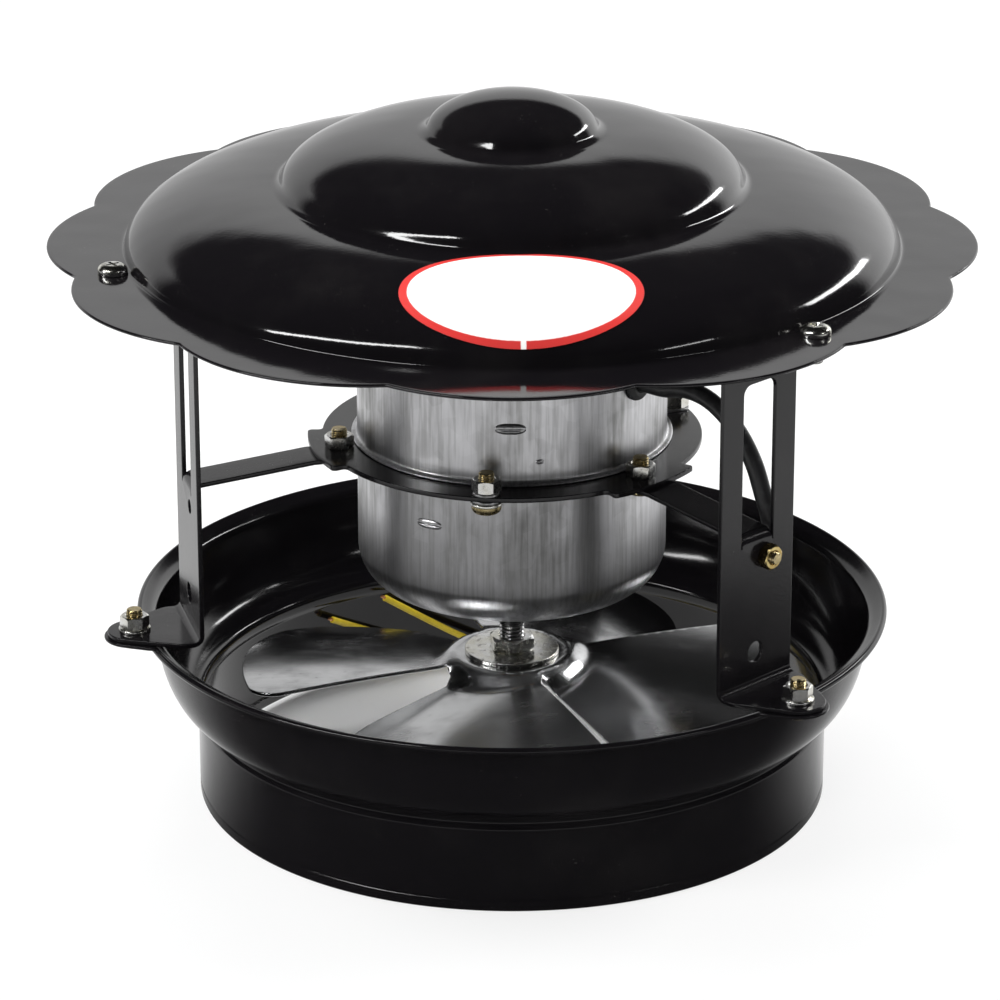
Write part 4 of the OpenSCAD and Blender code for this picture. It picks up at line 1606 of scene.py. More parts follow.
@dataclass
class OvalLabel:
    """Thin oval film that follows the outer dome, in millimetres."""

    finishes: Finishes
    cap: Cap
    radius: float = 94.95
    out: float = 22.6
    side: float = 35.5
    turn: float = -88.4
    film: float = 0.2

    def make(self) -> bpy.types.Object:
        """Builds and dresses the label.

        Returns:
            The label.
        """
        sheet = BentSheet(
            Draft.arc((0.0, 0.0), self.out, self.side, 0, 360, 96)[:-1], self.film, 0.06, fill=1.5, steps=2
        )
        a = math.radians(self.turn)

        def on_dome(u: np.ndarray, v: np.ndarray, h: np.ndarray) -> np.ndarray:
            """A place on the dome, h above its face."""
            x, y = self.radius + u, v
            r = np.hypot(x, y)
            z = np.array([self.cap.dome_height(k) for k in r])
            n = (r - self.cap.step) / (self.cap.foot - self.cap.step) ** 2
            m = (z - self.cap.top) / self.cap.outer_rise**2
            size = np.hypot(n, m)
            lift = h + 0.07
            r2 = r + lift * n / size
            c, s = x / r, y / r
            px, py = r2 * c, r2 * s
            return np.stack(
                [px * math.cos(a) - py * math.sin(a), px * math.sin(a) + py * math.cos(a), z + lift * m / size], 1
            )

        film = Piece("oval_film")
        sheet.lay(film, on_dome)
        return Seat.piece(film.make(self.finishes.label), Body.FRAME, Slot.LABEL_FILM, "label")


@dataclass
class Strut:
    """One pressed strut: foot, slotted plate, bent-in tongue and top flange, in millimetres."""

    finishes: Finishes
    inner: float = 102.5
    sheet: float = 1.5
    width: float = 32.0
    bend: float = 3.5
    rim: float = 62.5
    top: float = 180.0
    rim_bolt: float = 121.5
    cap_bolt: float = 125.0
    end: float = 8.5
    slot: float = 14.0
    slot_top: float = 161.0
    slot_corner: float = 3.0
    tongue_top: float = 113.0
    gap: float = 0.3
    land_z: float = 117.0
    land: float = 65.0
    arm_end: float = 50.9
    arm_bolt: float = 55.5

    @property
    def foot_length(self) -> float:
        """Straight length of the foot."""
        return self.rim_bolt + self.end - self.inner - self.bend

    @property
    def bend_length(self) -> float:
        """Length of one bend along its outer face."""
        return self.bend * math.pi / 2

    @property
    def slot_bottom(self) -> float:
        """Height of the slot's lower end."""
        return self.tongue_top - self.bend

    def at_height(self, z: float) -> float:
        """Place along the blank of a height on the plate."""
        return self.foot_length + self.bend_length + z - self.rim - self.bend

    def _on_plate(self, u: np.ndarray, v: np.ndarray, h: np.ndarray) -> np.ndarray:
        """The foot, the plate and the top flange."""
        b, foot, arc = self.bend, self.foot_length, self.bend_length
        plate = self.top - self.rim - 2 * b
        a, c = foot + arc, foot + arc + plate
        x_foot = self.inner + b
        out = np.zeros((len(u), 3))
        out[:, 1] = v
        for i, (s, k) in enumerate(zip(u, h)):
            if s <= foot:
                x, z = x_foot + foot - s, self.rim + k
            elif s <= a:
                t = (s - foot) / b
                x, z = x_foot - (b - k) * math.sin(t), self.rim + b - (b - k) * math.cos(t)
            elif s <= c:
                x, z = self.inner + k, self.rim + b + s - a
            elif s <= c + arc:
                t = (s - c) / b
                x, z = x_foot - (b - k) * math.cos(t), self.top - b + (b - k) * math.sin(t)
            else:
                x, z = x_foot + s - c - arc, self.top - k
            out[i, 0], out[i, 2] = x, z
        return out

    def _on_tongue(self, u: np.ndarray, v: np.ndarray, h: np.ndarray) -> np.ndarray:
        """The tongue, bent inward at the slot's lower end."""
        b, t = self.bend, self.sheet
        arc = self.bend_length
        x0, z0 = self.inner + t - b, self.tongue_top
        rise = np.array([self.land - x0, self.land_z - z0])
        slope = float(np.linalg.norm(rise))
        rise /= slope
        total = arc + slope + self.land - self.arm_end
        stretch = total / (self.slot_top - self.gap - self.slot_bottom)
        out = np.zeros((len(u), 3))
        out[:, 1] = v
        for i, (s, k) in enumerate(zip(u, h)):
            w = (s - self.at_height(self.slot_bottom)) * stretch
            d = t - k
            if w <= arc:
                a = w / b
                out[i, 0] = x0 + (b - d) * math.cos(a)
                out[i, 2] = self.slot_bottom + (b - d) * math.sin(a)
            else:
                q = w - arc
                f = min(1.0, max(0.0, (q - slope + 1.6) / 3.2))
                f = f * f * (3 - 2 * f)
                p = np.array([x0, z0]) + rise * min(q, slope)
                p += np.array([-1.0, 0.0]) * max(0.0, q - slope)
                n = np.array([rise[1], -rise[0]]) * (1 - f) + np.array([0.0, 1.0]) * f
                n /= np.linalg.norm(n)
                out[i, 0], out[i, 2] = p[0] - n[0] * d, p[1] - n[1] * d
        return out

    def lay(self) -> Callable[[np.ndarray, np.ndarray, np.ndarray], np.ndarray]:
        """The whole strut as one surface over its flat blank.

        Returns:
            The surface.
        """
        low, high = self.at_height(self.slot_bottom), self.at_height(self.slot_top - self.gap / 2)
        side = self.slot / 2 - self.gap / 2
        corner = self.slot_corner - self.gap / 2

        def surface(u: np.ndarray, v: np.ndarray, h: np.ndarray) -> np.ndarray:
            """Sends each point to the plate or to the tongue."""
            past_u, past_v = u - high + corner, np.abs(v) - side + corner
            rounded = (past_u < 0) | (past_v < 0) | (np.hypot(past_u, past_v) < corner)
            tongue = (u > low + 1e-9) & (u < high) & (np.abs(v) < side) & rounded
            out = self._on_plate(u, v, h)
            if tongue.any():
                out[tongue] = self._on_tongue(u[tongue], v[tongue], h[tongue])
            return out

        return surface

    def blank(self) -> BentSheet:
        """The flat blank with its slot and holes.

        Returns:
            The blank.
        """
        half, arc = self.width / 2, self.bend_length
        length = self.at_height(self.top - self.bend) + arc + self.cap_bolt + self.end - self.inner - self.bend
        foot = Draft.ear(self.inner + self.bend, 109.0, half, self.rim_bolt, self.end)
        head = Draft.ear(self.inner + self.bend, 109.0, half, self.cap_bolt, self.end)
        lower = np.stack([self.rim_bolt + self.end - foot[:, 0], foot[:, 1]], 1)
        upper = np.stack([length - (self.cap_bolt + self.end - head[:, 0]), head[:, 1]], 1)
        outline = np.concatenate([lower[::-1], upper])
        z = self.at_height
        s, t, g = self.slot / 2, self.slot / 2 - self.gap, self.gap
        low, high = z(self.slot_bottom), z(self.slot_top)
        lance = Draft.filleted(
            [(low, s), (high, s), (high, -s), (low, -s), (low, -t), (high - g, -t), (high - g, t), (low, t)],
            [0, self.slot_corner, self.slot_corner, 0, 0, self.slot_corner - g, self.slot_corner - g, 0],
            5,
        )
        total = arc + math.hypot(self.inner + self.sheet - self.bend - self.land, self.land_z - self.tongue_top)
        total += self.land - self.arm_end
        stretch = total / (self.slot_top - g - self.slot_bottom)
        arm_hole = low + (total - (self.arm_bolt - self.arm_end)) / stretch
        holes = [
            lance,
            Draft.circle(self.foot_length - (self.rim_bolt - self.inner - self.bend), 0.0, 2.75),
            Draft.circle(length - self.end, 0.0, 2.75),
            Draft.circle(arm_hole, 0.0, 2.6, 28, 1 / stretch),
            Draft.circle(z(74.5), 0.0, 3.25, 32),
            Draft.circle(z(104.8), 4.0, 2.2, 24),
        ]
        starts = (self.foot_length, z(self.top - self.bend))
        rows = [(u, -half, half) for a in starts for u in np.linspace(a, a + arc, 9)]
        rows += [(low + w / stretch, -t, t) for w in [*np.linspace(0.0, arc, 8)[1:], 38.2, 39.4, 41.2, 42.4]]
        return BentSheet(outline, self.sheet, 0.32, holes, rows)

    def make(self, name: str, turn: float, node: str) -> bpy.types.Object:
        """Builds one strut at its direction.

        Args:
            name: the piece's name.
            turn: its direction in degrees.
            node: the node it stands for.

        Returns:
            The strut.
        """
        pressed = Piece(name)
        self.blank().lay(pressed, self.lay())
        pressed.move(Matrix.Rotation(math.radians(turn), 4, "Z"))
        return Seat.piece(pressed.make(self.finishes.strut_enamel), Body.FRAME, Slot.BLACK_PAINT, node)


@dataclass
class Fasteners:
    """Screws, nuts and washers, made once each and repeated round the axis."""

    finishes: Finishes
    trees: Trees

    def thread(self, piece: Piece, radius: float, pitch: float, low: float, high: float) -> None:
        """Adds a threaded shank with a chamfered end.

        Args:
            piece: the piece that takes the faces.
            radius: its outer radius.
            pitch: its pitch.
            low: height of its free end.
            high: height of its other end.
        """
        z = np.arange(low, high, pitch / 7)
        t = np.linspace(0, 2 * np.pi, 28, endpoint=False)
        phase = (z[:, None] / pitch - t[None, :] / (2 * np.pi)) % 1.0
        ridge = np.clip(1.25 - 2.5 * np.abs(phase - 0.5), 0.0, 1.0)
        depth = 0.5 * pitch
        r = radius - 0.02 - depth + depth * ridge
        r = np.minimum(r, radius - depth * 0.9 + np.abs(z - low)[:, None] * 0.8)
        rows = np.stack([r * np.cos(t), r * np.sin(t), np.broadcast_to(z[:, None], r.shape)], 2)
        ends = [np.stack([0 * t, 0 * t, 0 * t + k], 1) for k in (low, z[-1])]
        piece.grid(np.concatenate([ends[:1], rows, ends[1:]]), wrap_columns=True)

    def screw(
        self, name: str, radius: float, pitch: float, length: float, head: tuple[float, float], way: Face,
        material: bpy.types.Material,
    ) -> bpy.types.Object:
        """A pan-head screw, its bearing face at the origin.

        Args:
            name: the piece's name.
            radius: the thread's radius.
            pitch: the thread's pitch.
            length: length under the head.
            head: the head's radius and height.
            way: whether the head is above or below its bearing face.
            material: its finish.

        Returns:
            The screw.
        """
        r, h = head
        crown = Draft.arc((r * 0.45, h * 0.36), r * 0.55, h * 0.64, 90, 12, 12)
        section = np.concatenate([[(0.0, h)], crown, [(r, h * 0.3), (r, 0.18), (r - 0.18, 0.0), (0.0, 0.0)]])
        crowned = Piece(name)
        crowned.turned(section, 56, closed=False)
        made = crowned.make(material, sharp=32)
        for k in range(2):
            wing = Piece("recess_wing")
            w, l, d = r * 0.115, r * 0.52, h * 0.62
            top = np.array([(-l, -w, h + 0.3), (l, -w, h + 0.3), (l, w, h + 0.3), (-l, w, h + 0.3)])
            foot_l, foot_w, low = l * 0.45, w * 0.7, h - d
            foot = np.array([(-1, -1), (1, -1), (1, 1), (-1, 1)]) * (foot_l, foot_w)
            foot = np.column_stack([foot, np.full(4, low)])
            wing.add(
                np.concatenate([foot, top]),
                [(3, 2, 1, 0), (4, 5, 6, 7), (0, 1, 5, 4), (1, 2, 6, 5), (2, 3, 7, 6), (3, 0, 4, 7)],
            )
            wing.move(Matrix.Rotation(k * math.pi / 2 + 0.35, 4, "Z"))
            Bake.cut(made, wing.make(material, sharp=30))
        made.data.set_sharp_from_angle(angle=math.radians(32))
        shank = Piece("shank")
        self.thread(shank, radius, pitch, -length, 0.25)
        Bake.joined(made, shank.make(material, sharp=50))
        if way is Face.DOWN:
            made.data.transform(Matrix.Rotation(math.pi, 4, "X"))
        return made

    def nut(
        self, name: str, flats: float, height: float, painted_shade_bore: float, material: bpy.types.Material, turn: float = 0.0
    ) -> bpy.types.Object:
        """A hexagon nut with both faces chamfered, its lower face at the origin.

        Args:
            name: the piece's name.
            flats: width across its flats.
            height: its height.
            painted_shade_bore: its bore's radius.
            material: its finish.
            turn: turn of its flats, in degrees.

        Returns:
            The nut.
        """
        deltas = [-30, -27, -20, -10, 0, 10, 20, 27]
        angles = np.array([60 * k + d for k in range(6) for d in deltas], float)
        across = flats / 2 / np.cos(np.radians([d for _ in range(6) for d in deltas]))
        across = np.minimum(across, flats / 2 / math.cos(math.radians(29.2)))
        flat = flats / 2 * 0.965
        fall = np.maximum(across - flat, 0.0) * math.tan(math.radians(32))
        one = np.ones(len(angles))
        rows = [
            (one * (painted_shade_bore + 0.4), 0.0 * one),
            (one * painted_shade_bore, 0.4 * one),
            (one * painted_shade_bore, (height - 0.4) * one),
            (one * (painted_shade_bore + 0.4), height * one),
            (one * flat, height * one),
            (across, height - fall),
            (across, fall),
            (one * flat, 0.0 * one),
        ]
        t = np.radians(angles + turn)
        piece = Piece(name)
        piece.grid(
            np.stack([np.stack([r * np.cos(t), r * np.sin(t), z], 1) for r, z in rows]),
            wrap_rows=True,
            wrap_columns=True,
        )
        return piece.make(material, sharp=22)

    def washer(
        self, name: str, outer: float, painted_shade_bore: float, thickness: float, material: bpy.types.Material
    ) -> bpy.types.Object:
        """A plain washer with its rolled-over punched edges, its lower face at the origin.

        Args:
            name: the piece's name.
            outer: its outer radius.
            painted_shade_bore: its hole's radius.
            thickness: its thickness.
            material: its finish.

        Returns:
            The washer.
        """
        corners = [(painted_shade_bore, 0.0), (outer, 0.0), (outer, thickness), (painted_shade_bore, thickness)]
        piece = Piece(name)
        piece.turned(Draft.filleted(corners, [0.1, 0.12, thickness * 0.35, 0.1], 4), 72)
        return piece.make(material)

    def seat(self, obj: bpy.types.Object, node: str, count: int, radius: float, height: float, first: float,
             slot: Slot = Slot.PLATED_STEEL) -> bpy.types.Object:
        """Repeats a fastener round the axis and seats it on the frame.

        Args:
            obj: the fastener.
            node: the node that it stands for.
            count: number of copies.
            radius: radius of their places.
            height: height of their places.
            first: direction of the first, in degrees.
            slot: their material slot.

        Returns:
            The seated fasteners.
        """
        self.trees.repeated(obj, count, radius, height, first, 120.0)
        return Seat.piece(obj, Body.FRAME, slot, node)

    def make(self) -> None:
        """Builds every repeated fastener of the frame."""
        f = self.finishes
        rim = self.screw("rim_screw", 2.5, 0.8, 9.5, (4.6, 3.0), Face.DOWN, f.brassy)
        self.seat(rim, "rim_screws", 3, 121.5, 61.5, -45)
        self.seat(self.washer("rim_washer", 5.0, 2.75, 1.0, f.zinc), "rim_washers", 3, 121.5, 64.0, -45)
        self.seat(self.nut("rim_nut", 8.0, 4.0, 2.55, f.zinc, 22.0), "rim_nuts", 3, 121.5, 65.0, -45)
        cap = self.screw("cap_screw", 2.5, 0.8, 8.5, (4.6, 3.0), Face.UP, f.zinc)
        self.seat(cap, "cap_screws", 3, 125.0, 181.0, -45)
        self.seat(self.nut("cap_nut", 8.0, 4.0, 2.55, f.zinc, 8.0), "cap_nuts", 3, 125.0, 174.5, -45)
        arm = self.screw("arm_screw", 2.5, 0.8, 9.1, (4.6, 3.0), Face.DOWN, f.brassy)
        self.seat(arm, "arm_screws", 3, 55.5, 115.5, -45)
        self.seat(self.nut("arm_nut", 8.0, 4.0, 2.55, f.zinc, 14.0), "arm_nuts", 3, 55.5, 118.6, -45)
        can = self.screw("can_screw", 2.5, 0.8, 10.2, (4.6, 3.0), Face.DOWN, f.brassy)
        self.seat(can, "can_screws", 3, 55.5, 115.2, 22)
        self.seat(self.washer("can_washer", 5.0, 2.75, 1.0, f.zinc), "can_washers", 3, 55.5, 115.2, 22)
        self.seat(self.nut("can_nut", 8.0, 4.0, 2.55, f.zinc, 5.0), "can_nuts", 3, 55.5, 119.4, 22)


@dataclass
class Motor:
    """Two drawn cans clamped on a ring, with the stator, rotor and bushes inside, in millimetres."""

    finishes: Finishes
    trees: Trees
    can: float = 48.5
    sheet: float = 0.8
    flange: float = 50.3
    ring_z: float = 117.0
    ring_t: float = 1.6
    ring: float = 59.5
    ring_ear: float = 64.0
    bolt: float = 55.5
    bottom: float = 69.5
    top: float = 161.0
    low_corner: float = 13.0
    top_corner: float = 8.0
    arms: tuple[float, ...] = (-45.0, 75.0, 195.0)
    free: tuple[float, ...] = (22.0, 142.0, 262.0)

    def _can(self, name: str, outer: np.ndarray, flange_face: float, way: float) -> bpy.types.Object:
        """Spins one can.

        Args:
            name: the piece's name.
            outer: the wall's outer line, from the flange's fillet to its far end.
            flange_face: height of the flange's face that lies on the ring.
            way: 1 where the can stands up from the ring, -1 where it hangs.

        Returns:
            The can.
        """
        t = self.sheet
        line = Draft.softened(outer, 0.35)
        normals = Draft.normals(line) * way
        inner = line + normals * t
        kept = Draft.thinned(line, 4.0, 3.0)
        free = flange_face + way * t
        edge = [
            (self.can - t, flange_face),
            (self.flange - 0.25, flange_face),
            (self.flange, flange_face + way * 0.3),
            (self.flange, free - way * 0.3),
            (self.flange - 0.25, free),
        ]
        section = np.concatenate([edge, line[kept], inner[kept][::-1]])
        section[:, 0] = np.maximum(section[:, 0], 0.0)
        piece = Piece(name)
        piece.turned(section, 224)
        return piece.make(self.finishes.can)

    def _ears(self, name: str, level: float) -> bpy.types.Object:
        """The three small ears of one can's flange, at a height."""
        corners = [(48.8 - self.bolt, -4.0), (0.0, -4.0), *Draft.arc((0, 0), 4.6, 4.6, -60, 60, 14), (0.0, 4.0),
                   (48.8 - self.bolt, 4.0)]
        corners = [c for i, c in enumerate(corners) if i not in (1, len(corners) - 2)]
        piece = Piece(name)
        BentSheet(np.array(corners), self.sheet, 0.2, [Draft.circle(0.0, 0.0, 2.75)]).lay(piece, flat_at(level))
        return self.trees.repeated(piece.make(self.finishes.can), 3, self.bolt, 0.0, self.free[0], 120.0)

    def _crimp(
        self, name: str, angle: float, z: float, width: float, height: float, proud: float
    ) -> bpy.types.Object:
        """A pressed crimp on a can's wall.

        Args:
            name: the piece's name.
            angle: its direction in degrees.
            z: its middle's height.
            width: its width round the wall.
            height: its height.
            proud: how far it stands out.

        Returns:
            The crimp.
        """
        a = np.linspace(-1, 1, 41)
        b = np.linspace(-1, 1, 31)
        u, v = np.meshgrid(a, b, indexing="ij")
        reach = np.clip(1 - (np.abs(u) ** 2.6 + np.abs(v) ** 2.2), 0, 1)
        swell = proud * reach**0.55
        cleft = 0.62 * proud * np.exp(-((v + 0.12) / 0.16) ** 2) * np.clip(1.15 - np.abs(u) * 1.3, 0, 1)
        r = self.can - 0.06 + swell - cleft
        t = np.radians(angle) + u * width / 2 / self.can
        piece = Piece(name)
        piece.grid(np.stack([r * np.cos(t), r * np.sin(t), z + v * height / 2], 2))
        made = piece.make(self.finishes.can)
        return made

    def make(self, frame: dict) -> None:
        """Builds and dresses the motor.

        Args:
            frame: the loaded frame.
        """
        f = self.finishes
        up, down = self.ring_z + self.ring_t, self.ring_z
        c = self.top_corner
        corner = Draft.arc((self.can - c, self.top - c), c, c, 0, 90, 16)
        rise = Draft.arc((self.can + 0.9, up + self.sheet + 0.9), 0.9, 0.9, 270, 180, 6)
        outer = np.concatenate([rise, corner, [(11.9, self.top), (10.7, self.top + 4.0), (0.0, self.top + 4.0)]])
        upper = self._can("upper_motor_can", outer, up, 1.0)
        Bake.joined(
            upper,
            self._ears("upper_ears", up),
            self._crimp("upper_crimp", -90.6, 136.8, 9.6, 3.6, 0.9),
            self._crimp("upper_dot", -80.0, 126.0, 2.4, 1.6, 0.5),
        )
        Seat.piece(upper, Body.FRAME, Slot.CAN_METAL, "upper_can")
        c = self.low_corner
        corner = Draft.arc((self.can - c, self.bottom + c), c, c, 0, -90, 22)
        fall = Draft.arc((self.can + 0.9, down - self.sheet - 0.9), 0.9, 0.9, 90, 180, 6)
        outer = np.concatenate([fall, corner, [(9.5, self.bottom), (8.6, self.bottom), (5.5, self.bottom)]])
        lower = self._can("lower_motor_can", outer, down, -1.0)
        Bake.joined(
            lower,
            self._ears("lower_ears", down - self.sheet),
            self._crimp("lower_crimp", -121.5, 103.2, 9.0, 3.2, 0.8),
        )
        Seat.piece(lower, Body.FRAME, Slot.CAN_METAL, "lower_can")
        self._ring()
        for node, material in (
            ("stator_core", f.plates),
            ("windings", f.wire),
            ("upper_bush", f.bronze),
            ("lower_bush", f.bronze),
            ("rotor_core", f.rotor),
            ("thrust_washers", f.nylon),
        ):
            Seat.dressed(frame, node, material)

    def _ring(self) -> bpy.types.Object:
        """Builds the mounting ring with its ears and holes."""
        corners: list[tuple[float, float]] = []
        radii: list[float] = []
        for arm in self.arms:
            for d, r in ((-15.9, self.ring), (-15.9, self.ring_ear)):
                a = math.radians(arm + d)
                corners.append((r * math.cos(a), r * math.sin(a)))
                radii.append(1.4)
            for d in np.linspace(-14.2, 14.2, 15):
                a = math.radians(arm + d)
                corners.append((self.ring_ear * math.cos(a), self.ring_ear * math.sin(a)))
                radii.append(0.0)
            for d, r in ((15.9, self.ring_ear), (15.9, self.ring)):
                a = math.radians(arm + d)
                corners.append((r * math.cos(a), r * math.sin(a)))
                radii.append(1.4)
            for d in np.linspace(18.2, 101.8, 42):
                a = math.radians(arm + d)
                corners.append((self.ring * math.cos(a), self.ring * math.sin(a)))
                radii.append(0.0)
        outline = Draft.filleted(corners, radii, 4)
        holes = [Draft.circle(0.0, 0.0, self.can - self.sheet + 0.2, 160)]
        holes += [
            Draft.circle(self.bolt * math.cos(math.radians(a)), self.bolt * math.sin(math.radians(a)), 2.75)
            for a in (*self.arms, *self.free)
        ]
        piece = Piece("clamp_ring")
        BentSheet(outline, self.ring_t, 0.3, holes).lay(piece, flat_at(self.ring_z))
        return Seat.piece(piece.make(self.finishes.strut_enamel), Body.FRAME, Slot.BLACK_PAINT, "motor_ring")


@dataclass
class Propeller:
    """Four blades and a raised hub pressed from one aluminium sheet, with its nuts and shaft."""

    finishes: Finishes
    fasteners: Fasteners
    tip: float = 86.0
    half: float = 39.0
    turn: float = -107.0
    pitch: float = 9.0
    droop: float = 3.4
    camber: float = 300.0
    sheet: float = 1.2
    low_round: float = 28.0
    high_round: float = 9.0
    hub_z: float = 44.0
    hub: float = 20.5

    def _corner(self, side: float, radius: float) -> np.ndarray:
        """Rounding between a blade's side and its tip."""
        a = self.half - math.degrees(math.asin(radius / (self.tip - radius)))
        c = (self.tip - radius) * np.array([math.cos(math.radians(a)), side * math.sin(math.radians(a))])
        return Draft.arc(c, radius, radius, side * (self.half + 90), side * a, 14)

    def outline(self) -> np.ndarray:
        """The pressing's outline seen from above, hub and all blades.

        Returns:
            The closed outline.
        """
        low = self._corner(-1, self.low_round)
        high = self._corner(1, self.high_round)
        a0 = math.atan2(low[-1][1], low[-1][0])
        a1 = math.atan2(high[-1][1], high[-1][0])
        tip = [(self.tip * math.cos(a), self.tip * math.sin(a)) for a in np.linspace(a0, a1, 30)[1:-1]]
        root = 25.2
        s = math.radians(self.half)
        side_low = [(r * math.cos(-s), r * math.sin(-s)) for r in np.linspace(root, math.hypot(*low[0]), 9)[:-1]]
        side_high = [(r * math.cos(s), r * math.sin(s)) for r in np.linspace(math.hypot(*high[0]), root, 13)[1:]]
        blade = np.array([*side_low, *low, *tip, *high[::-1], *side_high])
        valley = Draft.arc((0, 0), 22.9, 22.9, self.half + 2.6, 90 - self.half - 2.6, 6)
        loop: list[np.ndarray] = []
        for k in range(4):
            a = math.radians(self.turn + 90 * k)
            m = np.array([[math.cos(a), -math.sin(a)], [math.sin(a), math.cos(a)]])
            loop += [m @ p for p in [*blade, *valley]]
        return np.array(loop)

    def _blade_height(self, r: np.ndarray, local: np.ndarray) -> np.ndarray:
        """Height of a blade's upper face at a radius and a direction from its middle."""
        p, d = math.radians(self.pitch), math.radians(self.droop)
        x, y = r * np.cos(np.radians(local)), r * np.sin(np.radians(local))
        across = y / math.cos(p)
        for _ in range(3):
            sag = np.sqrt(self.camber**2 - across**2) - self.camber
            across = (y + sag * math.sin(p)) / math.cos(p)
        rise = across * math.sin(p) + sag * math.cos(p)
        return self.hub_z - 3.8 - (x - self.hub) * math.tan(d) + rise / math.cos(d)

    def height(self, x: np.ndarray, y: np.ndarray) -> np.ndarray:
        """Height of the pressing's upper face.

        Args:
            x: first coordinate.
            y: second coordinate.

        Returns:
            The heights.
        """
        r = np.hypot(x, y)
        turn = (np.degrees(np.arctan2(y, x)) - self.turn + 45.0) % 90.0 - 45.0
        on_blade = self._blade_height(r, np.clip(turn, -self.half - 1.5, self.half + 1.5))
        edge = 45.0 - np.abs(turn)
        other = self._blade_height(r, -np.sign(turn) * (self.half + 1.5) * np.ones_like(r))
        share = 0.5 * np.clip(1 - edge / (43.5 - self.half), 0.0, 1.0) ** 2
        blade = on_blade * (1 - share) + other * share
        f = np.clip((r - 18.6) / 7.2, 0.0, 1.0)
        f = f * f * (3 - 2 * f)
        dish = 0.25 * np.exp(-(((r - 15.8) / 1.3) ** 2))
        return (self.hub_z - dish) * (1 - f) + blade * f

    def make(self, trees: Trees) -> None:
        """Builds the pressing, the hub's hardware and the shaft.

        Args:
            trees: the shared node trees.
        """

        def pressed(u: np.ndarray, v: np.ndarray, h: np.ndarray) -> np.ndarray:
            """The pressing's faces, h above the lower one."""
            e = 0.05
            z = self.height(u, v)
            du = (self.height(u + e, v) - self.height(u - e, v)) / (2 * e)
            dv = (self.height(u, v + e) - self.height(u, v - e)) / (2 * e)
            n = np.stack([-du, -dv, np.ones_like(u)], 1)
            n /= np.linalg.norm(n, axis=1)[:, None]
            return np.stack([u, v, z], 1) + n * (h - self.sheet)[:, None]

        f = self.finishes
        piece = Piece("pressed_propeller")
        BentSheet(self.outline(), self.sheet, 0.35, [Draft.circle(0, 0, 4.05, 40)], fill=1.7).lay(piece, pressed)
        blades = piece.make(f.blade)
        Seat.piece(blades, Body.ROTOR, Slot.BLADE_ALUMINIUM, "propeller")
        made = self.fasteners
        upper = trees.repeated(made.washer("hub_washer", 15.0, 4.05, 1.2, f.zinc), 1, 0.0, 44.0, 0.0, 0.0)
        lower = trees.repeated(made.washer("hub_washer_low", 15.0, 4.05, 1.2, f.zinc), 1, 0.0, 41.6, 0.0, 0.0)
        Seat.piece(Bake.joined(upper, lower), Body.ROTOR, Slot.PLATED_STEEL, "hub_washers")
        upper = trees.repeated(made.nut("hub_nut", 13.0, 4.3, 4.05, f.zinc, 12.0), 1, 0.0, 45.2, 0.0, 0.0)
        lower = trees.repeated(made.nut("hub_nut_low", 13.0, 4.3, 4.05, f.zinc, 40.0), 1, 0.0, 37.3, 0.0, 0.0)
        Seat.piece(Bake.joined(upper, lower), Body.ROTOR, Slot.PLATED_STEEL, "hub_nuts")
        self._shaft()

    def _shaft(self) -> bpy.types.Object:
        """Builds the shaft: threaded at the hub, ground above it."""
        piece = Piece("fan_shaft")
        self.fasteners.thread(piece, 4.0, 1.25, 34.05, 53.5)
        section = [
            (0.0, 53.0), (3.5, 53.0), (4.0, 53.9), (4.0, 83.6), (5.0, 83.6), (5.0, 149.86),
            (4.0, 149.86), (4.0, 162.6), (3.5, 163.1), (0.0, 163.1),
        ]
        piece.turned(np.array(section), 64, closed=False)
        return Seat.piece(piece.make(self.finishes.shaft, sharp=28), Body.ROTOR, Slot.SHAFT_STEEL, "shaft")


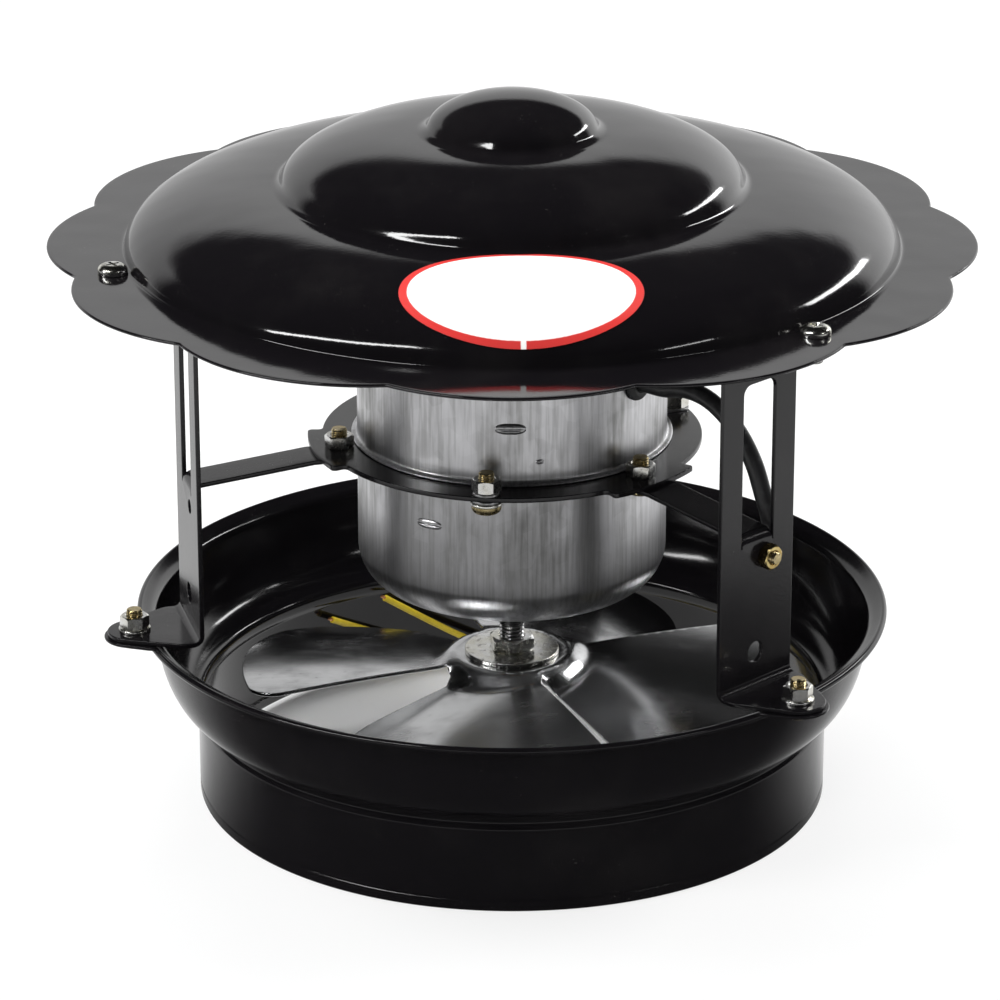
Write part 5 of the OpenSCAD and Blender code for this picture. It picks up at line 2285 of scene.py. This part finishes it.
@dataclass
class Wiring:
    """Black cable from the motor down the right strut, its two yellow leads, grommet and clip."""

    finishes: Finishes
    trees: Trees
    strut: float = -45.0
    grommet_turn: float = -38.0
    grommet_z: float = 145.5
    cable: float = 2.75
    lead: float = 1.1
    clip_z: float = 104.8
    cable_low: float = 36.0
    across: float = 11.5

    @property
    def down(self) -> float:
        """Radius of the cable's straight run down the strut."""
        return 102.5 - 0.8 - self.cable - 0.2

    @staticmethod
    def polar(radius: float, turn: float, z: float) -> tuple[float, float, float]:
        """A point from its radius, direction in degrees and height."""
        a = math.radians(turn)
        return (radius * math.cos(a), radius * math.sin(a), z)

    def at_strut(self, x: float, y: float, z: float) -> tuple[float, float, float]:
        """A point from its place along and across the right strut's direction."""
        a = math.radians(self.strut)
        return (x * math.cos(a) - y * math.sin(a), x * math.sin(a) + y * math.cos(a), z)

    def cable_line(self) -> np.ndarray:
        """The cable's route.

        Returns:
            The route's points.
        """
        z, x = self.grommet_z, self.down
        route = [self.polar(r, self.grommet_turn, z) for r in (46.5, 52.5, 58.5)]
        route += [
            self.at_strut(*q)
            for q in (
                (66, 8, z + 1.5), (74, 8.5, z + 0.8), (81, 9, z - 2.5), (87.5, 9.8, z - 8.5),
                (92.5, 10.6, z - 16.5), (95.6, 11.2, z - 25), (x, self.across, z - 34),
                (x, self.across, self.clip_z), (x, self.across, 88), (x, self.across, 72),
                (x - 0.5, self.across, 60), (x - 1.7, self.across, 52), (x - 3.2, self.across, 44),
                (x - 4.4, self.across, self.cable_low),
            )
        ]
        return np.array(route)

    def lead_lines(self) -> tuple[np.ndarray, np.ndarray]:
        """Routes of the long and the short lead.

        Returns:
            The two routes.
        """
        end = self.cable_line()[-1]
        r, a = float(np.hypot(end[0], end[1])), math.degrees(math.atan2(end[1], end[0]))
        off = self.lead + 0.15
        outer = 100.0 - 2.0 - 0.3 - self.lead
        inner = outer - 2 * off
        floor = self.lead + 0.1

        def start(side: float, wall: float) -> list[tuple[float, float, float]]:
            """The way from the cable's end down to the floor."""
            return [
                (r + side * off, a, self.cable_low - 0.6), (r + side * off, a + 0.4, 28.0),
                ((r + side * off + wall) / 2, a + 2, 19.0), (wall, a + 6, 10.5), (wall, a + 12, 5.0),
                (wall, a + 20, 2.0),
            ]

        long = start(1, outer) + [(outer, float(t), floor) for t in range(-10, 91, 10)]
        long += [(outer, 98, 2), (outer, 105, 5), (outer, 112, 9.5), (outer - 0.2, 119, 15),
                 (outer - 0.6, 125, 20), (outer - 1, 129, 23.5)]
        short = start(-1, inner) + [(inner, float(t), floor) for t in range(-10, 81, 10)]
        short += [(inner, 88, 2), (inner, 95, 5.5), (inner, 101, 10.5), (inner, 107, 16.5),
                  (inner, 113, 23), (inner, 117, 27.5)]
        return np.array([self.polar(*q) for q in long]), np.array([self.polar(*q) for q in short])

    @staticmethod
    def spline(points: np.ndarray, per: int = 8) -> np.ndarray:
        """A smooth curve through points.

        Args:
            points: the points.
            per: steps between two points.

        Returns:
            The curve's points.
        """
        p = np.concatenate([[2 * points[0] - points[1]], points, [2 * points[-1] - points[-2]]])
        out = []
        for i in range(1, len(p) - 2):
            a, b, c, d = p[i - 1], p[i], p[i + 1], p[i + 2]
            t0, t1 = 0.0, np.linalg.norm(b - a) ** 0.5
            t2 = t1 + np.linalg.norm(c - b) ** 0.5
            t3 = t2 + np.linalg.norm(d - c) ** 0.5
            for k in range(per):
                t = t1 + (t2 - t1) * k / per
                a1 = (t1 - t) / (t1 - t0) * a + (t - t0) / (t1 - t0) * b
                a2 = (t2 - t) / (t2 - t1) * b + (t - t1) / (t2 - t1) * c
                a3 = (t3 - t) / (t3 - t2) * c + (t - t2) / (t3 - t2) * d
                b1 = (t2 - t) / (t2 - t0) * a1 + (t - t0) / (t2 - t0) * a2
                b2 = (t3 - t) / (t3 - t1) * a2 + (t - t1) / (t3 - t1) * a3
                out.append((t2 - t) / (t2 - t1) * b1 + (t - t1) / (t2 - t1) * b2)
        return np.array([*out, points[-1]])

    def _cord(
        self, name: str, route: np.ndarray, radius: float, material: bpy.types.Material, slot: Slot, node: str,
        pieces: Sequence[bpy.types.Object],
    ) -> bpy.types.Object:
        """Builds one cord.

        Args:
            name: the piece's name.
            route: its route's points.
            radius: its radius.
            material: its finish.
            slot: its material slot.
            node: the node that it stands for.
            pieces: the pieces that are on it.

        Returns:
            The cord.
        """
        line = self.spline(route)
        cord = self.trees.swept(name, line, radius, material, 24)
        Seat.piece(cord, Body.FRAME, slot, node)
        2 * radius * MM
        "limp" if radius < 2 else "medium"
        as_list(pieces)
        return cord

    def _strands(self, name: str, line: np.ndarray) -> bpy.types.Object:
        """The short twist of copper strands that shows at a lead's cut end."""
        end, way = line[-1], line[-1] - line[-2]
        way = way / np.linalg.norm(way)
        side = np.cross(way, (0, 0, 1.0))
        side /= np.linalg.norm(side)
        up = np.cross(side, way)
        parts = []
        for k in range(6):
            turn = 2 * math.pi * k / 6
            twist = []
            for s in np.linspace(-0.8, 1.5 + 0.25 * math.sin(5.1 * k), 9):
                a = turn + s * 0.55
                twist.append(end + way * s + 0.36 * (side * math.cos(a) + up * math.sin(a)))
            parts.append(self.trees.swept(f"{name}_{k}", np.array(twist), 0.17, self.finishes.copper, 8))
        Bake.joined(*parts)
        parts[0].name = name
        return Seat.piece(parts[0], Body.FRAME, Slot.WINDING)

    def make(self, frame: dict) -> None:
        """Builds and dresses the wiring.

        Args:
            frame: the loaded frame.
        """
        f = self.finishes
        long, short = self.lead_lines()
        routes = (("long_lead_copper", long), ("short_lead_copper", short))
        tips = [self._strands(name, self.spline(route)) for name, route in routes]
        self._cord("motor_cable", self.cable_line(), self.cable, f.jacket, Slot.CABLE_JACKET, "cable", ())
        self._cord("long_lead", long, self.lead, f.yellow, Slot.YELLOW_JACKET, "lead_long", tips[:1])
        self._cord("short_lead", short, self.lead, f.yellow, Slot.YELLOW_JACKET, "lead_short", tips[1:])
        self._grommet()
        self._clip(frame)

    def _grommet(self) -> bpy.types.Object:
        """The rubber grommet in the upper can's side."""
        corners = [
            (2.9, 45.7), (5.4, 45.7), (6.0, 46.3), (6.0, 47.1), (4.3, 47.1), (4.3, 48.65),
            (6.0, 48.65), (5.6, 49.8), (4.2, 50.5), (2.9, 50.5),
        ]
        piece = Piece("cable_grommet")
        piece.turned(Draft.filleted(corners, [0.3, 0.4, 0.3, 0.3, 0.2, 0.2, 0.35, 0.5, 0.5, 0.4], 4), 48)
        piece.move(Matrix.Rotation(math.radians(90), 4, "Y"))
        piece.move(Matrix.Translation((0, 0, self.grommet_z)))
        piece.move(Matrix.Rotation(math.radians(self.grommet_turn), 4, "Z"))
        return Seat.piece(piece.make(self.finishes.rubber), Body.FRAME, Slot.RUBBER, "grommet")

    def _clip(self, frame: dict) -> None:
        """The cable clip with its screw and nut."""
        f, made = self.finishes, Fasteners(self.finishes, self.trees)
        Seat.dressed(frame, "cable_clip", f.jacket)
        turn = Matrix.Rotation(math.radians(self.strut), 4, "Z")
        screw = made.screw("clip_screw_m4", 2.0, 0.7, 6.9, (3.5, 2.4), Face.UP, f.brassy)
        place = turn @ Matrix.Translation((101.7 * MM, 4.0 * MM, self.clip_z * MM)) @ Matrix.Rotation(
            -math.pi / 2, 4, "Y"
        )
        screw.data.transform(place)
        Seat.piece(screw, Body.FRAME, Slot.PLATED_STEEL, "clip_screw")
        nut = made.nut("clip_nut_m4", 7.0, 3.2, 2.05, f.gold, 10.0)
        place = turn @ Matrix.Translation((104.0 * MM, 4.0 * MM, self.clip_z * MM)) @ Matrix.Rotation(
            math.pi / 2, 4, "Y"
        )
        nut.data.transform(place)
        Seat.piece(nut, Body.FRAME, Slot.GOLD_PLATED, "clip_nut")


@dataclass
class Studio:
    """Camera, pale floor, soft lights and the world."""

    finishes: Finishes
    place: tuple[float, float, float] = (0.0, -1.400, 0.6351)
    tilt: float = 68.91
    yaw: float = 0.0027
    lens: float = 171.5
    backdrop: float = 0.92
    right_gain: float = 1.9
    ambient: float = 0.45
    dark: float = 0.012

    def camera(self) -> bpy.types.Object:
        """Makes the scene's camera.

        Returns:
            The camera.
        """
        data = bpy.data.cameras.new("studio_camera")
        data.lens = self.lens
        data.sensor_width = 36.0
        data.clip_start, data.clip_end = 0.05, 20.0
        camera = bpy.data.objects.new("studio_camera", data)
        camera.location = self.place
        camera.rotation_euler = (math.radians(self.tilt), 0.0, self.yaw)
        bpy.context.scene.collection.objects.link(camera)
        bpy.context.scene.camera = camera
        return camera

    def lamp(
        self,
        name: str,
        place: Sequence[float],
        size: tuple[float, float],
        power: float,
        along: Sequence[float] = (1.0, 0.0, 0.0),
        at: Sequence[float] = (0.0, 0.0, 0.12),
    ) -> bpy.types.Object:
        """Makes one soft rectangular lamp.

        Args:
            name: its name.
            place: where it stands.
            size: its length and width.
            power: its power in watts.
            along: the direction of its length.
            at: the point it faces.

        Returns:
            The lamp.
        """
        data = bpy.data.lights.new(name, "AREA")
        data.shape = "RECTANGLE"
        data.size, data.size_y = size
        data.energy = power
        back = (Vector(place) - Vector(at)).normalized()
        side = (Vector(along) - back * back.dot(Vector(along))).normalized()
        lamp = bpy.data.objects.new(name, data)
        turn = Matrix((side, back.cross(side), back)).transposed()
        lamp.matrix_world = Matrix.Translation(place) @ turn.to_4x4()
        bpy.context.scene.collection.objects.link(lamp)
        return lamp

    def world(self) -> None:
        """Makes the world: white to the camera, and in reflections a dark room with a pale backdrop."""
        world = bpy.data.worlds.new("studio_world")
        bpy.context.scene.world = world
        world.use_nodes = True
        tree = world.node_tree
        tree.nodes.clear()
        new, link = tree.nodes.new, tree.links.new

        def ranged(socket: bpy.types.NodeSocket, low: float, high: float, first: float, last: float):
            """A smooth step of one value."""
            step = new("ShaderNodeMapRange")
            step.interpolation_type = "SMOOTHSTEP"
            for name, value in zip(("From Min", "From Max", "To Min", "To Max"), (low, high, first, last)):
                step.inputs[name].default_value = value
            link(socket, step.inputs["Value"])
            return step.outputs[0]

        def mixed(factor: bpy.types.NodeSocket, first: bpy.types.NodeSocket | float, last: float | None = None):
            """A blend of two strengths, by a light path's flag."""
            pick = new("ShaderNodeMix")
            pick.data_type = "FLOAT"
            link(factor, pick.inputs["Factor"])
            for socket, value in ((pick.inputs[2], first), (pick.inputs[3], last)):
                if isinstance(value, float):
                    socket.default_value = value
                else:
                    link(value, socket)
            return pick.outputs[0]

        spot = new("ShaderNodeTexCoord")
        parts = new("ShaderNodeSeparateXYZ")
        link(spot.outputs["Generated"], parts.inputs[0])
        wide = ranged(parts.outputs["Y"], 0.50, 0.66, self.dark, 1.0)
        low = ranged(parts.outputs["Z"], 0.40, 0.48, 1.0, self.dark)
        right = ranged(parts.outputs["X"], 0.05, 0.55, 1.0, self.right_gain)
        card = new("ShaderNodeMath")
        card.operation = "MULTIPLY"
        link(wide, card.inputs[0])
        link(low, card.inputs[1])
        sided = new("ShaderNodeMath")
        sided.operation = "MULTIPLY"
        link(card.outputs[0], sided.inputs[0])
        link(right, sided.inputs[1])
        bright = new("ShaderNodeMath")
        bright.operation = "MULTIPLY"
        link(sided.outputs[0], bright.inputs[0])
        bright.inputs[1].default_value = self.backdrop
        rays = new("ShaderNodeLightPath")
        room = mixed(rays.outputs["Is Glossy Ray"], self.ambient, bright.outputs[0])
        back = new("ShaderNodeBackground")
        link(mixed(rays.outputs["Is Camera Ray"], room, 1.0), back.inputs["Strength"])
        out = new("ShaderNodeOutputWorld")
        link(back.outputs[0], out.inputs["Surface"])

    def make(self) -> None:
        """Builds the floor, the lights and the view settings."""
        scene = bpy.context.scene
        scene.view_settings.view_transform = "Standard"
        self.world()
        piece = Piece("pale_table")
        edge = np.linspace(-3000.0, 3000.0, 13)
        x, y = np.meshgrid(edge, edge, indexing="ij")
        piece.grid(np.stack([x, y, np.zeros_like(x) - 0.05], 2))
        floor = piece.make(self.finishes.floor)
        if floor.data.polygons[0].normal.z < 0:
            floor.data.flip_normals()
        soft = [
            self.lamp("left_soft", (-0.95, 0.25, 0.75), (0.7, 0.7), 11.0),
            self.lamp("right_soft", (0.95, 0.30, 0.70), (0.6, 0.6), 9.0),
            self.lamp("top_soft", (0.0, 0.55, 1.25), (1.0, 0.5), 12.0),
            self.lamp("front_fill", (-0.35, -1.6, 1.1), (0.5, 0.5), 9.0),
        ]
        for lamp in soft:
            lamp.visible_glossy = False
        across = (0.0, 1.0, 0.0)
        self.lamp("left_strip", (-1.06, -0.72, 1.0), (1.25, 0.12), 10.0)
        self.lamp("right_strip", (1.05, 0.62, 0.8), (0.80, 0.10), 4.0, across)
        self.lamp("right_front_strip", (1.12, -0.88, 0.8), (0.45, 0.05), 0.8, across)


def main() -> None:
    """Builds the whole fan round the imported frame."""
    logging.basicConfig(level=logging.INFO, format="%(name)s: %(message)s")
    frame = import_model()
    label_turn = math.radians(OvalLabel.turn)
    finishes = Finishes(
        (OvalLabel.radius * MM, 0.0), (OvalLabel.out * MM, OvalLabel.side * MM), label_turn
    )
    trees = Trees()
    studio = Studio(finishes)
    studio.camera()
    Wiring(finishes, trees).make(frame)
    Bowl(finishes, trees).make()
    cap = Cap(finishes)
    cap.make()
    OvalLabel(finishes, cap).make()
    strut = Strut(finishes)
    for name, turn, node in (
        ("right_strut", -45.0, "strut_right"),
        ("rear_strut", 75.0, "strut_rear"),
        ("left_strut", 195.0, "strut_left"),
    ):
        strut.make(name, turn, node)
    Motor(finishes, trees).make(frame)
    fasteners = Fasteners(finishes, trees)
    fasteners.make()
    Propeller(finishes, fasteners).make(trees)
    studio.make()


if __name__ == "__main__":
    main()
